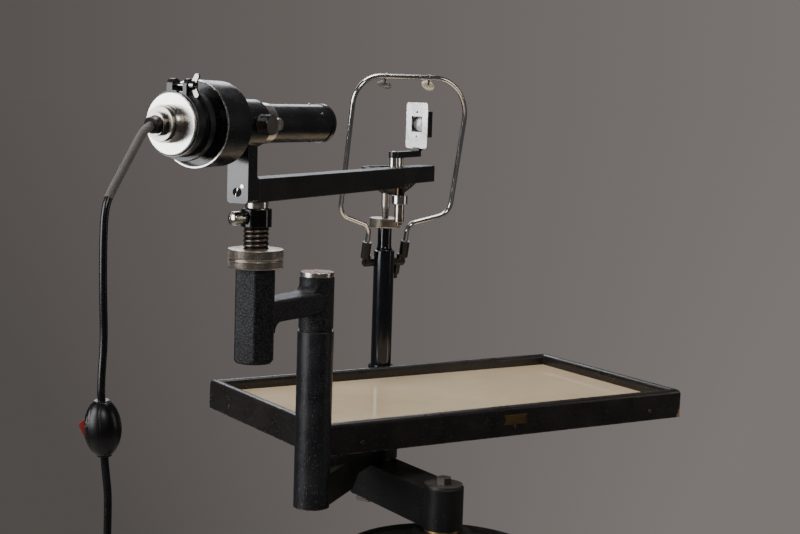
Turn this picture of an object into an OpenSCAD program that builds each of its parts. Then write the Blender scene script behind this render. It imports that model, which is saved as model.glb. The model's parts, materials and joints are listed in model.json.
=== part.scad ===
// Instrument table with a lamp arm, a swing lens and a chin and head rest, on a floor stand.
// Millimetres. The origin is on the floor, under the column's axis. +Z is up, +X runs along
// the tray's long side and +Y points from the examiner's side to the patient's side.

/* [Stand] */
// Radius of the floor base
base_r = 220; // [190:1:230]
// Height of the base's boss, which holds the column
base_boss_h = 70; // [55:1:90]
// Radius of the column's outer tube
column_r = 30; // [27:0.5:36]
// Wall of the column's outer tube
column_wall = 4; // [3:0.5:6]
// Radius of the height wheel
wheel_r = 120; // [105:1:130]
// Radius of the lifting screw inside the column
screw_r = 17; // [15:0.5:20]

/* [Arm under the table] */
// Height of the tray's upper edge above the floor
table_h = 780; // [740:1:840]
// Distance from the column's axis to the table's pivot
arm_len = 170; // [150:1:200]
// Radius of the arm's two ends
arm_r = 24; // [21:0.5:27]
// Height of the arm
arm_h = 46; // [36:1:54]

/* [Tray] */
// Outer length of the tray
tray_l = 558.8; // [480:0.1:640]
// Outer depth of the tray
tray_w = 304.8; // [260:0.1:360]
// Height of the tray's rails
rail_h = 36.6; // [30:0.1:48]
// Thickness of a rail
rail_t = 13; // [10:0.5:18]
// Depth of the panel's surface below the upper edge of the rails
tray_recess = 12.9; // [8:0.1:16]

/* [Lamp post and knuckle] */
// Radius of the post that carries the lamp arm
post_r = 20.7; // [18:0.1:23]
// Height of the post's top above the tray's upper edge
post_rise = 120; // [80:1:160]
// Distance from the post's axis to the sleeve's axis
knuckle_reach = 118.5; // [105:0.5:140]
// Distance across the flats of the six-sided sleeve
sleeve_af = 41.5; // [38:0.5:46]
// Length of the sleeve
sleeve_len = 102; // [85:1:120]
// Radius of the two knurled rings
ring_r = 29.6; // [27:0.1:33]

/* [Lamp arm] */
// Length of the bar from the spindle's axis to its free end
bar_len = 427; // [380:1:450]
// Width of the bar
bar_w = 25; // [22:0.5:28]
// Height of the bar
bar_h = 25; // [22:0.5:28]
// Height of the lamp's axis above the underside of the bar
lamp_rise = 82; // [76:0.5:95]
// Outer radius of the lamp's hood
hood_r = 43.6; // [40:0.1:47]
// Outer radius of the slit tube
tube_r = 20.5; // [18:0.5:21]
// Length of the slit tube past its band
tube_len = 102; // [80:1:115]

/* [Head rest] */
// Radius of the post that carries the chin and head rest
head_post_r = 14.5; // [13:0.5:17]
// Radius of the head rest's wire
wire_r = 3.4; // [3:0.1:4]
// Width of the chin cup
chin_w = 100; // [84:1:108]

/* [Cord] */
// Diameter of the cord
cord_d = 7.5; // [7:0.1:7.6]

/* [Hidden] */
$fn = 64;
cut = 1;            // overrun of every cut
fit = 0.05;         // radial clearance of a running fit
play = 0.3;         // clearance between faces that move past each other
turn = 360;         // one full turn, in degrees
right = 90;         // a right angle

// Places of the pieces in plan
lamp_post_x = -155;     // lamp post, from the table's pivot
lamp_post_y = -130;
tray_x = -130;          // tray's near left corner, from the table's pivot
tray_y = -100;
head_post_x = 147;      // head-rest post, from the table's pivot
head_post_gap = 0.4;    // between the foot ring of that post and the tray's back rail
knuckle_turn = 207.65;  // direction from the lamp post to the sleeve
bar_turn = 32.75;       // direction of the bar
sleeve_turn = 244.5;    // direction of one arris of the sleeve

// Levels that follow the table's height
tray_bottom = table_h - rail_h;
arm_drop = 33.4;                        // from the tray's underside down to the arm's top
arm_top = tray_bottom - arm_drop;
hub_over = 2;                           // the hub's rise over the arm, above and below
hub_top = arm_top + hub_over;
hub_bottom = arm_top - arm_h - hub_over;

module rod(r, z0, z1) translate([0, 0, z0]) cylinder(r = r, h = z1 - z0);
module pipe(r, bore, z0, z1) difference() {
    rod(r, z0, z1);
    rod(bore, z0 - cut, z1 + cut);
}
module turned(points) rotate_extrude() polygon(points);
function arc(x, y, r, a0, a1, n = 6) =
    [for (i = [0:n]) let (a = a0 + (a1 - a0) * i / n) [x + r * cos(a), y + r * sin(a)]];
// A disc's section from the axis outwards, with a small rounding at its upper and lower edge
function disc_points(r, z0, z1, e) =
    concat([[0, z0]], arc(r - e, z0 + e, e, -right, 0, 4), arc(r - e, z1 - e, e, 0, right, 4), [[0, z1]]);
function ring_points(r, bore, z0, z1, e) = concat([[bore, z0]],
    arc(r - e, z0 + e, e, -right, 0, 4), arc(r - e, z1 - e, e, 0, right, 4), [[bore, z1]]);
module at_pivot() translate([0, arm_len, 0]) children();
module at_lamp_post() at_pivot() translate([lamp_post_x, lamp_post_y, 0]) children();
module at_spindle() at_lamp_post() rotate(knuckle_turn) translate([knuckle_reach, 0, 0])
    rotate(-knuckle_turn) children();
module at_bar() at_spindle() rotate(bar_turn) children();
module along_x(x, z = 0) translate([x, 0, z]) rotate([0, right, 0]) children();

// A tube swept along a list of points: the section's normal is carried from ring to ring
function unit(v) = v / norm(v);
function tangent(p, i) = unit(p[min(i + 1, len(p) - 1)] - p[max(i - 1, 0)]);
function carried(n, t) = unit(n - (n * t) * t);
function normals(p, n0) = [for (i = 0, n = carried(n0, tangent(p, 0)); i < len(p);
    i = i + 1, n = carried(n, tangent(p, min(i, len(p) - 1)))) n];
module swept(p, r, sides, n0) {
    n = normals(p, n0);
    last = len(p) - 1;
    polyhedron(
        [for (i = [0:last]) for (k = [0:sides - 1])
            let (b = cross(tangent(p, i), n[i]), a = turn * (k + 1 / 2) / sides)
            p[i] + r * (cos(a) * n[i] + sin(a) * b)],
        concat([[for (k = [0:sides - 1]) k]],
            [[for (k = [sides - 1:-1:0]) last * sides + k]],
            [for (i = [0:last - 1]) for (k = [0:sides - 1])
                let (a = i * sides + k, b = i * sides + (k + 1) % sides)
                each [[a, a + sides, b + sides], [a, b + sides, b]]]));
}
// A smooth curve through the points of a route, with a fixed number of steps to each stretch
function smooth_point(a, b, c, d, t) = (2 * b + (c - a) * t + (2 * a - 5 * b + 4 * c - d) * t * t
    + (3 * b - a - 3 * c + d) * t * t * t) / 2;
function smooth(p, steps) = concat([for (i = [0:len(p) - 2]) for (s = [0:steps - 1])
    smooth_point(p[max(i - 1, 0)], p[i], p[i + 1], p[min(i + 2, len(p) - 1)], s / steps)],
    [p[len(p) - 1]]);

// Floor stand
base_edge = 14;         // height of the base's rim
base_edge_round = 5;
base_floor = 8;         // metal left under the column's foot
base_hollow = 6;        // depth of the hollow between the boss and the base's outer ring
base_land = 24;         // width of the ring that stands on the floor
base_boss_wall = 20;
base_boss_r = column_r + base_boss_wall;
base_skirt_h = 36;      // height of the dome beside the boss
dome_share = 0.75;      // share of the radius where the dome steepens, and share of its height there
dome_rise_share = 0.3;
column_drop = 62;       // from the hub's underside down to the column's top
column_top = hub_bottom - column_drop;
guide_h = 50;           // length of the screw's guide at the column's top
screw_len = 420;
washer_t = 3;
wheel_rim_r = 6;        // radius of the wheel's rim section
wheel_web_t = 6;
wheel_drop = 28;        // from the hub's underside to the top of the wheel's rim
wheel_boss_r = 34;
spigot_r = 12;          // journal that the arm's hub turns on

module floor_base() color("#17181a") difference() {
    turned(concat([[0, 0], [base_boss_r, 0], [base_boss_r, base_hollow], [base_r - base_land, base_hollow],
        [base_r - base_land, 0]],
        arc(base_r - base_edge_round, base_edge_round, base_edge_round, -right, 0, 4),
        arc(base_r - base_edge_round, base_edge - base_edge_round, base_edge_round, 0, right, 4),
        [[base_r * dome_share, base_edge + (base_skirt_h - base_edge) * dome_rise_share],
        [base_boss_r + base_edge, base_skirt_h], [base_boss_r, base_boss_h - base_edge_round],
        [base_boss_r - base_edge_round, base_boss_h], [0, base_boss_h]]));
    rod(column_r + fit, base_floor, base_boss_h + cut);
}
module column_tube() color("#1b1c1e") difference() {
    rod(column_r, base_floor, column_top);
    rod(column_r - column_wall, base_floor - cut, column_top - guide_h);
    rod(screw_r + fit, base_floor, column_top + cut);
}
module height_wheel() color("#141416") {
    rim_z = hub_bottom - wheel_drop - wheel_rim_r;
    difference() {
        union() {
            rod(wheel_boss_r, column_top + play, hub_bottom - washer_t - play);
            rod(wheel_r - wheel_rim_r, rim_z - wheel_web_t / 2, rim_z + wheel_web_t / 2);
            rotate_extrude() translate([wheel_r - wheel_rim_r, rim_z]) circle(r = wheel_rim_r, $fn = 32);
        }
        rod(screw_r + fit, column_top, hub_bottom);
    }
}
screw_pitch = 5;        // spacing of the lifting screw's grooves
screw_groove = 1.4;
module column_screw() color("#8e8a83") difference() {
    union() {
        shoulder = hub_bottom - washer_t;
        rod(screw_r, shoulder - screw_len, shoulder);
        rod(spigot_r, shoulder - cut, hub_top + fit);
    }
    for (k = [1:24])
        translate([0, 0, hub_bottom - washer_t - screw_pitch * (k + 1)])
            rotate_extrude() polygon([[screw_r + cut, -screw_groove], [screw_r - screw_groove, 0],
                [screw_r + cut, screw_groove]]);
    rod(hub_bolt_r + fit, hub_top - hub_bolt_len, hub_top + cut);
}
module thrust_washer() color("#a9853f")
    pipe(arm_r - hub_over, spigot_r + fit, hub_bottom - washer_t, hub_bottom - fit);

// Arm between the column and the table
hub_bolt_r = 4;
hub_bolt_len = 24;
hub_washer_r = 22.5;
hub_washer_t = 3;
hub_head_h = 7.5;
hub_head_af = 16.5;
pin_r = 11;
pin_nut_r = 18;
pin_nut_h = 9;
module lower_arm() color("#151517") difference() {
    union() {
        hull() for (y = [0, arm_len]) translate([0, y, 0])
            rod(arm_r - hub_over / 2, arm_top - arm_h, arm_top, $fn = 32);
        rod(arm_r, hub_bottom, hub_top);
        at_pivot() rod(arm_r, arm_top - arm_h, arm_top);
    }
    rod(spigot_r + fit, hub_bottom - cut, hub_top + cut);
    at_pivot() rod(pin_r + fit, arm_top - arm_h - cut, arm_top + cut);
}
module hub_bolt() color("#3a3835") {
    z = hub_top + 2 * fit;
    pipe(hub_washer_r, hub_bolt_r + fit, z, z + hub_washer_t);
    translate([0, 0, z + hub_washer_t])
        cylinder(d = hub_head_af / cos(turn / 12), h = hub_head_h, $fn = 6);
    rod(hub_bolt_r, z + hub_washer_t - hub_bolt_len + hub_head_h, z + hub_washer_t + cut);
}

// Bracket that carries the tray and the lamp post
plate_t = 10.4;
bracket_tip_r = 34;         // round end over the pivot
bracket_root_r = 12;        // plate's end beside the post
bracket_root_gap = 52;      // from the post's axis to that end's axis
web_half = 17;              // half the thickness of the web
web_drop = 47.4;            // depth of the web below the tray, beside the post
web_end = 92;               // the web is deep up to this distance from the post
web_rise_end = 112;
pad_r = 62;                 // round pad under the middle of the tray
pad_x = tray_x + tray_l / 2;
pad_y = tray_y + tray_w / 2;
post_bottom = tray_bottom - web_drop;
post_turn = atan2(-lamp_post_y, -lamp_post_x);      // from the post to the pivot
post_reach = norm([lamp_post_x, lamp_post_y]);
module table_bracket() color("#1d1d1c") drilled() {
    at_pivot() {
        difference() {
            union() {
                hull() {
                    rod(bracket_tip_r, tray_bottom - plate_t, tray_bottom, $fn = 32);
                    rotate(post_turn) translate([bracket_root_gap - post_reach, 0, 0])
                        rod(bracket_root_r, tray_bottom - plate_t, tray_bottom, $fn = 32);
                }
                hull() {
                    rod(bracket_tip_r, tray_bottom - plate_t, tray_bottom, $fn = 32);
                    translate([pad_x, pad_y, 0]) rod(pad_r, tray_bottom - plate_t, tray_bottom, $fn = 32);
                }
                rod(bracket_tip_r, arm_top + play, tray_bottom);
                rotate(post_turn) translate([-post_reach, -web_half, 0])
                    rotate([right, 0, 0]) mirror([0, 0, 1]) linear_extrude(2 * web_half)
                        polygon([[0, post_bottom], [web_end, post_bottom],
                            [web_rise_end, arm_top + play], [post_reach, arm_top + play],
                            [post_reach, tray_bottom - plate_t], [0, tray_bottom - plate_t]]);
            }
            translate([lamp_post_x, lamp_post_y, 0]) rod(post_r + fit, post_bottom - cut, tray_bottom + cut);
            rod(pin_r + fit, arm_top - cut, tray_bottom + cut);
        }
    }
}
module pivot_pin() color("#5d5953") at_pivot() {
    rod(pin_r, arm_top - arm_h - play - pin_nut_h, tray_bottom);
    translate([0, 0, arm_top - arm_h - play - pin_nut_h]) cylinder(r = pin_nut_r, h = pin_nut_h, $fn = 6);
}

// Screws of the table: a head each, with a shank that ends in the piece it holds
rail_screw_r = 1.8;
rail_head_r = 2.8;
rail_head_h = 0.8;
rail_shank = 24;
rail_screw_z = 12.6;        // above the tray's underside
rail_screw_in = 59;         // from the tray's left end, and from its right end
side_screw_in = 58.3;
mid_screw_in = 281.8;       // screw under the label plate
mid_screw_low = 0.8;        // that screw sits lower by this
right_screw_in = 53.3;
plate_screw_r = 3;
plate_head_r = 6;
plate_head_h = 5;
plate_shank = 26;
web_screw_gap = 31;         // from the post's axis to the cap screw on the web's shoulder
web_head_r = 3.6;
web_shank = 14;
post_bolt_r = 4;
post_bolt_head_r = 6.5;
post_bolt_head_h = 4;
post_bolt_shank = 34;
post_bolt_rise = 12;        // of the lower bolt, above the web's underside
post_bolt_step = 15;        // between the two bolts
yoke_screw_r = 2;           // the two screws that hold the hinge clamp to its post
yoke_head_r = 4;
yoke_head_h = 3;
yoke_shank = 12;
yoke_screw_gap = 7;         // from the post's axis to each of them
post_bore = 15;             // bore of the lamp post
// Where a bolt's head meets the bore
post_seat = sqrt(post_bore * post_bore - post_bolt_head_r * post_bolt_head_r);
front_screws = [[rail_screw_in, 0], [mid_screw_in, mid_screw_low], [tray_l - right_screw_in, 0]];
module front_spots() for (q = front_screws)
    translate([tray_x + q[0], tray_y, tray_bottom + rail_screw_z - q[1]]) rotate([-right, 0, 0]) children();
module back_spots() for (x = [rail_screw_in, tray_l - rail_screw_in])
    translate([tray_x + x, tray_y + tray_w, tray_bottom + rail_screw_z]) rotate([right, 0, 0]) children();
module side_spots() for (y = [side_screw_in, tray_w - side_screw_in]) {
    translate([tray_x, tray_y + y, tray_bottom + rail_screw_z]) rotate([0, right, 0]) children();
    translate([tray_x + tray_l, tray_y + y, tray_bottom + rail_screw_z]) rotate([0, -right, 0]) children();
}
module plate_spots() for (a = [turn / 8:turn / 4:turn]) translate([pad_x, pad_y, tray_bottom - plate_t])
    rotate(a) translate([pad_r - 2 * plate_head_r, 0, 0]) children();
module foot_spots() for (y = [foot_near + 2 * plate_head_r, foot_near + 5 * plate_head_r])
    translate([head_post_x, tray_y + y, tray_bottom - foot_t]) children();
module web_spot() at_web() translate([web_screw_gap, 0, tray_bottom - plate_t]) children();
module at_web() translate([lamp_post_x, lamp_post_y, 0]) rotate(post_turn) children();
module post_bolts() at_web() for (k = [0, 1])
    along_x(post_seat - post_bolt_head_h, post_bottom + post_bolt_rise + k * post_bolt_step) children();
module yoke_spots() for (side = [-1, 1])
    translate([head_post_x + side * yoke_screw_gap, head_post_y + head_post_r + yoke_wall,
        table_h + hinge_rise]) rotate([right, 0, 0]) children();
module rail_screw() {
    translate([0, 0, -rail_head_h])
        cylinder(r1 = rail_head_r - rail_head_h / 2, r2 = rail_head_r, h = rail_head_h);
    cylinder(r = rail_screw_r, h = rail_shank);
}
module cap_screw(head_r, head_h, r, length) {
    rod(head_r, -head_h, 0);
    rod(r, -cut, length);
}
module table_screws() color("#6b6257") at_pivot() {
    front_spots() rail_screw();
    back_spots() rail_screw();
    side_spots() rail_screw();
    plate_spots() cap_screw(plate_head_r, plate_head_h, plate_screw_r, plate_shank);
    foot_spots() cap_screw(plate_head_r, plate_head_h, plate_screw_r, plate_shank);
    web_spot() mirror([0, 0, 1]) cap_screw(web_head_r, plate_screw_r, plate_screw_r, web_shank);
    yoke_spots() cap_screw(yoke_head_r, yoke_head_h, yoke_screw_r, yoke_shank);
    post_bolts() {
        rod(post_bolt_head_r, 0, post_bolt_head_h - fit);
        rod(post_bolt_r, 0, post_bolt_shank);
    }
}
module screw_holes() {
    front_spots() rod(rail_screw_r + fit, -cut, rail_shank + fit);
    back_spots() rod(rail_screw_r + fit, -cut, rail_shank + fit);
    side_spots() rod(rail_screw_r + fit, -cut, rail_shank + fit);
    plate_spots() rod(plate_screw_r + fit, -cut, plate_shank + fit);
    foot_spots() rod(plate_screw_r + fit, -cut, plate_shank + fit);
    web_spot() rod(plate_screw_r + fit, -web_shank - fit, cut);
    yoke_spots() rod(yoke_screw_r + fit, -cut, yoke_shank + fit);
    post_bolts() rod(post_bolt_r + fit, 0, post_bolt_shank + fit);
}

// Lamp post: a tube with a solid head, and the journal that the knuckle turns on
post_head = 30;             // solid length under the post's top
journal_r = 12.5;
journal_rise = 58;          // of the journal over the post's top
post_round = 0.8;           // rounding of the post's upper edge
module lamp_post() color("#1a1a1b") difference() {
    at_lamp_post() turned(concat([[0, post_bottom], [post_r, post_bottom]],
        arc(post_r - post_round, table_h + post_rise - post_round, post_round, 0, right, 3),
        [[journal_r, table_h + post_rise], [journal_r, table_h + post_rise + journal_rise],
        [0, table_h + post_rise + journal_rise]]));
    at_lamp_post() rod(post_bore, post_bottom - cut, table_h + post_rise - post_head);
    at_pivot() post_bolts() rod(post_bolt_r + fit, 0, post_bolt_shank + fit);
}

// Tray
rail_round = 5.5;           // rounding of a rail's two upper edges
rail_crown = 1.5;           // rise of a rail's rounded top over its nominal edge
board_t = 19.7;
panel_t = 4;
tray_gap = 0.2;             // between the board or the panel and the rails
module rail(length) intersection() {
    rotate([right, 0, right]) linear_extrude(length) polygon(concat(
        [[0, tray_bottom], [rail_t, tray_bottom]],
        arc(rail_t - rail_round, table_h + rail_crown - rail_round, rail_round, 0, right, 4),
        arc(rail_round, table_h + rail_crown - rail_round, rail_round, right, 2 * right, 4)));
    translate([0, 0, tray_bottom]) linear_extrude(rail_h + rail_crown)
        polygon([[0, 0], [length, 0], [length - rail_t, rail_t], [rail_t, rail_t]]);
}
module at_tray() at_pivot() translate([tray_x, tray_y, 0]) children();
module drilled() difference() {
    children();
    at_pivot() screw_holes();
}
module rail_front() color("#1b1a1c") drilled() at_tray() rail(tray_l);
module rail_back() color("#1b1a1c") drilled() at_tray()
    translate([tray_l, tray_w, 0]) rotate(2 * right) rail(tray_l);
module rail_left() color("#1b1a1c") drilled() at_tray()
    translate([0, tray_w, 0]) rotate(-right) rail(tray_w);
module rail_right() color("#1b1a1c") drilled() at_tray()
    translate([tray_l, 0, 0]) rotate(right) rail(tray_w);
module tray_fill(z, t) at_tray() translate([rail_t + tray_gap, rail_t + tray_gap, z])
    cube([tray_l - 2 * (rail_t + tray_gap), tray_w - 2 * (rail_t + tray_gap), t]);
module tray_board() color("#3b2c20") drilled() tray_fill(tray_bottom, board_t);
module tray_panel() color("#cbb98f") tray_fill(table_h - tray_recess - panel_t, panel_t);

// Bare brass plate on the front rail
label_l = 36;
label_h = 12.3;
label_t = 0.8;
label_in = 264.4;           // from the tray's left end
label_drop = 9.3;           // from the rail's upper edge
label_notch = 2.6;          // depth of the notch in each end
module label_plate() color("#b18a3e") at_tray() translate([label_in, 0, table_h - label_drop - label_h])
    rotate([right, 0, 0]) linear_extrude(label_t)
        polygon([[0, 0], [label_l, 0], [label_l - label_notch, label_h / 2], [label_l, label_h],
            [0, label_h], [label_notch, label_h / 2]]);

// Head-rest post behind the tray, on a foot under it
foot_ring_r = 18;
foot_ring_h = 7.5;
foot_ring_low = 0.5;        // the ring's top is lower than the rail's edge by this
foot_t = 8;
foot_half = 25;
foot_near = 232;            // near end of the foot, from the tray's front
head_post_y = tray_y + tray_w + head_post_gap + foot_ring_r;
shoulder_rise = 164.7;      // of the shoulder's foot over the tray's upper edge
shoulder_h = 9;
neck_r = 9.8;
neck_top_rise = 198.5;
chin_shaft_r = 4.8;
chin_bore_depth = 70;
chin_slot = 22;             // length of the thread under the chin ring that never enters the post
module at_head_post() at_pivot() translate([head_post_x, head_post_y, 0]) children();
module head_post() color("#131315") drilled() {
    ring_z = table_h - foot_ring_low;
    at_head_post() difference() {
        union() {
            turned(concat([[0, tray_bottom - foot_t], [head_post_r, tray_bottom - foot_t],
                [head_post_r, ring_z - foot_ring_h], [foot_ring_r, ring_z - foot_ring_h],
                [foot_ring_r, ring_z], [head_post_r, ring_z]],
                [for (a = [right:-right / 6:0]) [neck_r + (head_post_r - neck_r) * (1 - cos(a)),
                    table_h + shoulder_rise + shoulder_h * (1 - sin(a))]],
                [[neck_r, table_h + neck_top_rise], [0, table_h + neck_top_rise]]));
            translate([-foot_half, foot_near + tray_y - head_post_y, tray_bottom - foot_t])
                cube([2 * foot_half, head_post_y - tray_y - foot_near, foot_t]);
            rod(foot_half, tray_bottom - foot_t, tray_bottom);
        }
        rod(chin_shaft_r + fit, table_h + neck_top_rise - chin_bore_depth, table_h + neck_top_rise + cut);
    }
}

// Clamp on the head-rest post, with a hinge lug at each side
hinge_rise = 148;           // of the tilting axis over the tray's upper edge
hinge_back = 4.7;           // of that axis behind the post's axis
yoke_h = 12;
yoke_wall = 4.5;
lug_out = 21;               // outer face of each lug, from the post's axis
lug_r = 5.5;
hinge_pin_r = 2.5;
hinge_head_r = 4;           // head of each pin, outside its elbow
hinge_head_t = 2;
yoke_half = 14;
module at_hinge() at_head_post() translate([0, hinge_back, table_h + hinge_rise]) children();
function leg_out(side) = side < 0 ? -left_leg : right_leg;
module head_yoke() color("#1a1918") drilled() {
    difference() {
        union() {
            at_head_post() translate([-yoke_half, 0, table_h + hinge_rise - yoke_h / 2])
                cube([2 * yoke_half, head_post_r + yoke_wall, yoke_h]);
            at_hinge() along_x(-lug_out) rod(lug_r, 0, 2 * lug_out);
        }
        at_head_post() rod(head_post_r + fit, table_h + hinge_rise - yoke_h, table_h + hinge_rise + yoke_h);
    }
    at_hinge() for (side = [-1, 1]) to_side(side) {
        along_x(0) rod(hinge_pin_r, lug_out - yoke_wall / 2, leg_out(side) + play + cut);
        along_x(leg_out(side) + play) rod(hinge_head_r, 0, hinge_head_t);
    }
}
module to_side(side) mirror([side < 0 ? 1 : 0, 0, 0]) children();

// Knuckle between the lamp post and the lift spindle
boss_r = 19.8;
boss_neck_r = 18.5;
boss_neck_h = 3.6;
boss_rise = 181.5;          // of the boss's top over the tray's upper edge
cap_r = 19;
cap_h = 5.9;
cap_plug_h = 3;
cap_edge = 0.75;
cap_hole_r = 1.2;           // set-screw hole in the cap's edge
cap_hole_turn = 300;
knuckle_low = 141.3;        // underside and top of the knuckle's arm, over the tray's upper edge
knuckle_top = 166;
knuckle_half = 17.5;
knuckle_round = 5;
boss_fillet = 12;
sleeve_fillet = 11;
sleeve_rise = 100;          // of the sleeve's lower end over the tray's upper edge
sleeve_chamfer = 5;
sleeve_edge = 4;            // rounding of the sleeve's arrises
sleeve_bottom = table_h + sleeve_rise;
sleeve_top = sleeve_bottom + sleeve_len;
spindle_r = 13.7;
module knuckle_arm() color("#202124") difference() {
    union() {
        at_lamp_post() {
            rod(boss_neck_r, table_h + post_rise + fit, table_h + boss_rise);
            rod(boss_r, table_h + post_rise + boss_neck_h, table_h + boss_rise);
            rotate(knuckle_turn) {
                along_x(0) linear_extrude(knuckle_reach) polygon(rounded_points(-table_h - knuckle_top,
                    -table_h - knuckle_low, -knuckle_half, knuckle_half, knuckle_round));
                intersection() {
                    turned(concat([[boss_r - cut, table_h + boss_rise],
                        [boss_r - cut, table_h + knuckle_top - cut],
                        [boss_r + boss_fillet, table_h + knuckle_top - cut]],
                        arc(boss_r + boss_fillet, table_h + knuckle_top + boss_fillet, boss_fillet,
                            -right, -2 * right)));
                    translate([0, knuckle_round - knuckle_half, 0]) linear_extrude(table_h + boss_rise)
                        square([knuckle_reach / 2, 2 * (knuckle_half - knuckle_round)]);
                }
                translate([knuckle_reach - sleeve_af / 2, knuckle_half - knuckle_round,
                    table_h + knuckle_low]) rotate([right, 0, 0])
                        linear_extrude(2 * (knuckle_half - knuckle_round))
                        polygon(concat([[cut, cut]],
                            arc(-sleeve_fillet, -sleeve_fillet, sleeve_fillet, right, 0),
                            [[cut, -sleeve_fillet]]));
            }
        }
        at_spindle() intersection() {
            translate([0, 0, sleeve_bottom]) rotate(sleeve_turn) linear_extrude(sleeve_len)
                polygon(six_points(sleeve_af / 2 / cos(turn / 12), sleeve_edge));
            turned([[0, sleeve_bottom], [sleeve_af / 2 / cos(turn / 12) - sleeve_chamfer, sleeve_bottom],
                [sleeve_af, sleeve_bottom + sleeve_af / 2 / cos(turn / 12)], [sleeve_af, sleeve_top],
                [0, sleeve_top]]);
        }
    }
    at_lamp_post() rod(journal_r + fit, table_h, table_h + boss_rise + cut);
    at_spindle() rod(spindle_r + fit, sleeve_bottom - cut, sleeve_top + cut);
}
function rounded_points(x0, x1, y0, y1, r) = concat(arc(x1 - r, y1 - r, r, 0, right, 4),
    arc(x0 + r, y1 - r, r, right, 2 * right, 4), arc(x0 + r, y0 + r, r, 2 * right, 3 * right, 4),
    arc(x1 - r, y0 + r, r, 3 * right, turn, 4));
// A regular six-sided outline with rounded corners: r is the distance to a sharp corner
function six_points(r, e) = [for (k = [0:5]) each arc((r - e / cos(turn / 12)) * cos(k * turn / 6),
    (r - e / cos(turn / 12)) * sin(k * turn / 6), e, (k - 1 / 2) * turn / 6, (k + 1 / 2) * turn / 6, 4)];
module knuckle_cap() color("#8f8378") at_lamp_post() {
    z = table_h + boss_rise;
    difference() {
        turned(disc_points(cap_r, z, z + cap_h, cap_edge));
        rotate(cap_hole_turn) along_x(cap_r / 2, z + cap_h / 2) rod(cap_hole_r, 0, cap_r);
    }
    rod(journal_r, z - cap_plug_h, z + cap_h / 2);
}

// Two knurled rings on the sleeve: the lower is fixed, the upper lifts the spindle
stop_h = 8.6;
stop_step = 1;              // raised face that the upper ring runs on
ring_h = 10.3;
ring_edge = 0.7;
module stop_ring() color("#8b7f72") at_spindle() difference() {
    union() {
        turned(ring_points(ring_r, spindle_r, sleeve_top, sleeve_top + stop_h, ring_edge));
        rod(ring_r - 2 * stop_step, sleeve_top + stop_h / 2, sleeve_top + stop_h + stop_step);
    }
    rod(spindle_r + fit, sleeve_top - cut, sleeve_top + stop_h + 2 * stop_step);
}
module adjusting_ring() color("#8b7f72") at_spindle() difference() {
    z = sleeve_top + stop_h + stop_step + fit;
    turned(ring_points(ring_r, spindle_r, z, z + ring_h, ring_edge));
    rod(spindle_r + fit, z - cut, z + ring_h + cut);
}

// Lift spindle with its clamp, and the pin that the bar turns on
spindle_low = 20;           // lower end, over the sleeve's lower end
spindle_rise = 264.7;       // of the spindle's top over the tray's upper edge
thread_step = 5;
thread_depth = 1.3;
thread_rise = 206;          // of the lowest groove over the tray's upper edge
threads = 8;
swivel_r = 8;
swivel_depth = 40;
swivel_flange_r = 12.5;
swivel_flange_h = 7;
collar_r = 16.2;
collar_h = 19;
collar_top_gap = 0.4;       // from the collar's top to the spindle's top
thumb_turn = 192.5;         // direction of the thumb screw
thumb_r = 4.8;
thumb_head_r = 7.6;
thumb_head_in = 24;         // from the spindle's axis to the head
thumb_head_l = 7;
thumb_dome = 4;
thumb_slot = 1.6;
thumb_tip_in = 14.1;
module lift_spindle() color("#6f675d") at_spindle() difference() {
    rod(spindle_r, sleeve_bottom + spindle_low, table_h + spindle_rise);
    for (k = [0:threads]) translate([0, 0, table_h + thread_rise + k * thread_step]) rotate_extrude()
        polygon([[spindle_r + cut, -thread_depth - cut], [spindle_r - thread_depth, 0],
            [spindle_r + cut, thread_depth + cut]]);
    rod(swivel_r + fit, table_h + spindle_rise - swivel_depth, table_h + spindle_rise + cut);
}
module at_thumb() at_spindle() translate([0, 0, table_h + spindle_rise - collar_top_gap - collar_h / 2])
    rotate(thumb_turn) rotate([0, right, 0]) children();
module clamp_collar() color("#111113") difference() {
    z = table_h + spindle_rise - collar_top_gap;
    at_spindle() turned(ring_points(collar_r, spindle_r + fit, z - collar_h, z, ring_edge));
    at_thumb() rod(thumb_r + fit, 0, collar_r + cut);
}
module thumb_screw() color("#cfc8bd") at_thumb() difference() {
    union() {
        rod(thumb_r, thumb_tip_in, thumb_head_in + cut);
        turned(concat([[0, thumb_head_in], [thumb_head_r, thumb_head_in],
            [thumb_head_r, thumb_head_in + thumb_head_l]],
            [for (a = [right / 5:right / 5:right]) [thumb_head_r * cos(a),
                thumb_head_in + thumb_head_l + thumb_dome * sin(a)]]));
    }
    translate([-thumb_head_r - cut, -thumb_slot / 2, thumb_head_in + thumb_head_l + thumb_dome - thumb_slot])
        cube([2 * (thumb_head_r + cut), thumb_slot, 2 * thumb_slot]);
}
module swivel_pin() color("#a79d90") at_spindle() {
    z = table_h + spindle_rise + play;
    rod(swivel_r, z - swivel_depth + play, z + swivel_flange_h + bar_h * pin_share);
    rod(swivel_flange_r, z, z + swivel_flange_h);
}

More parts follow.
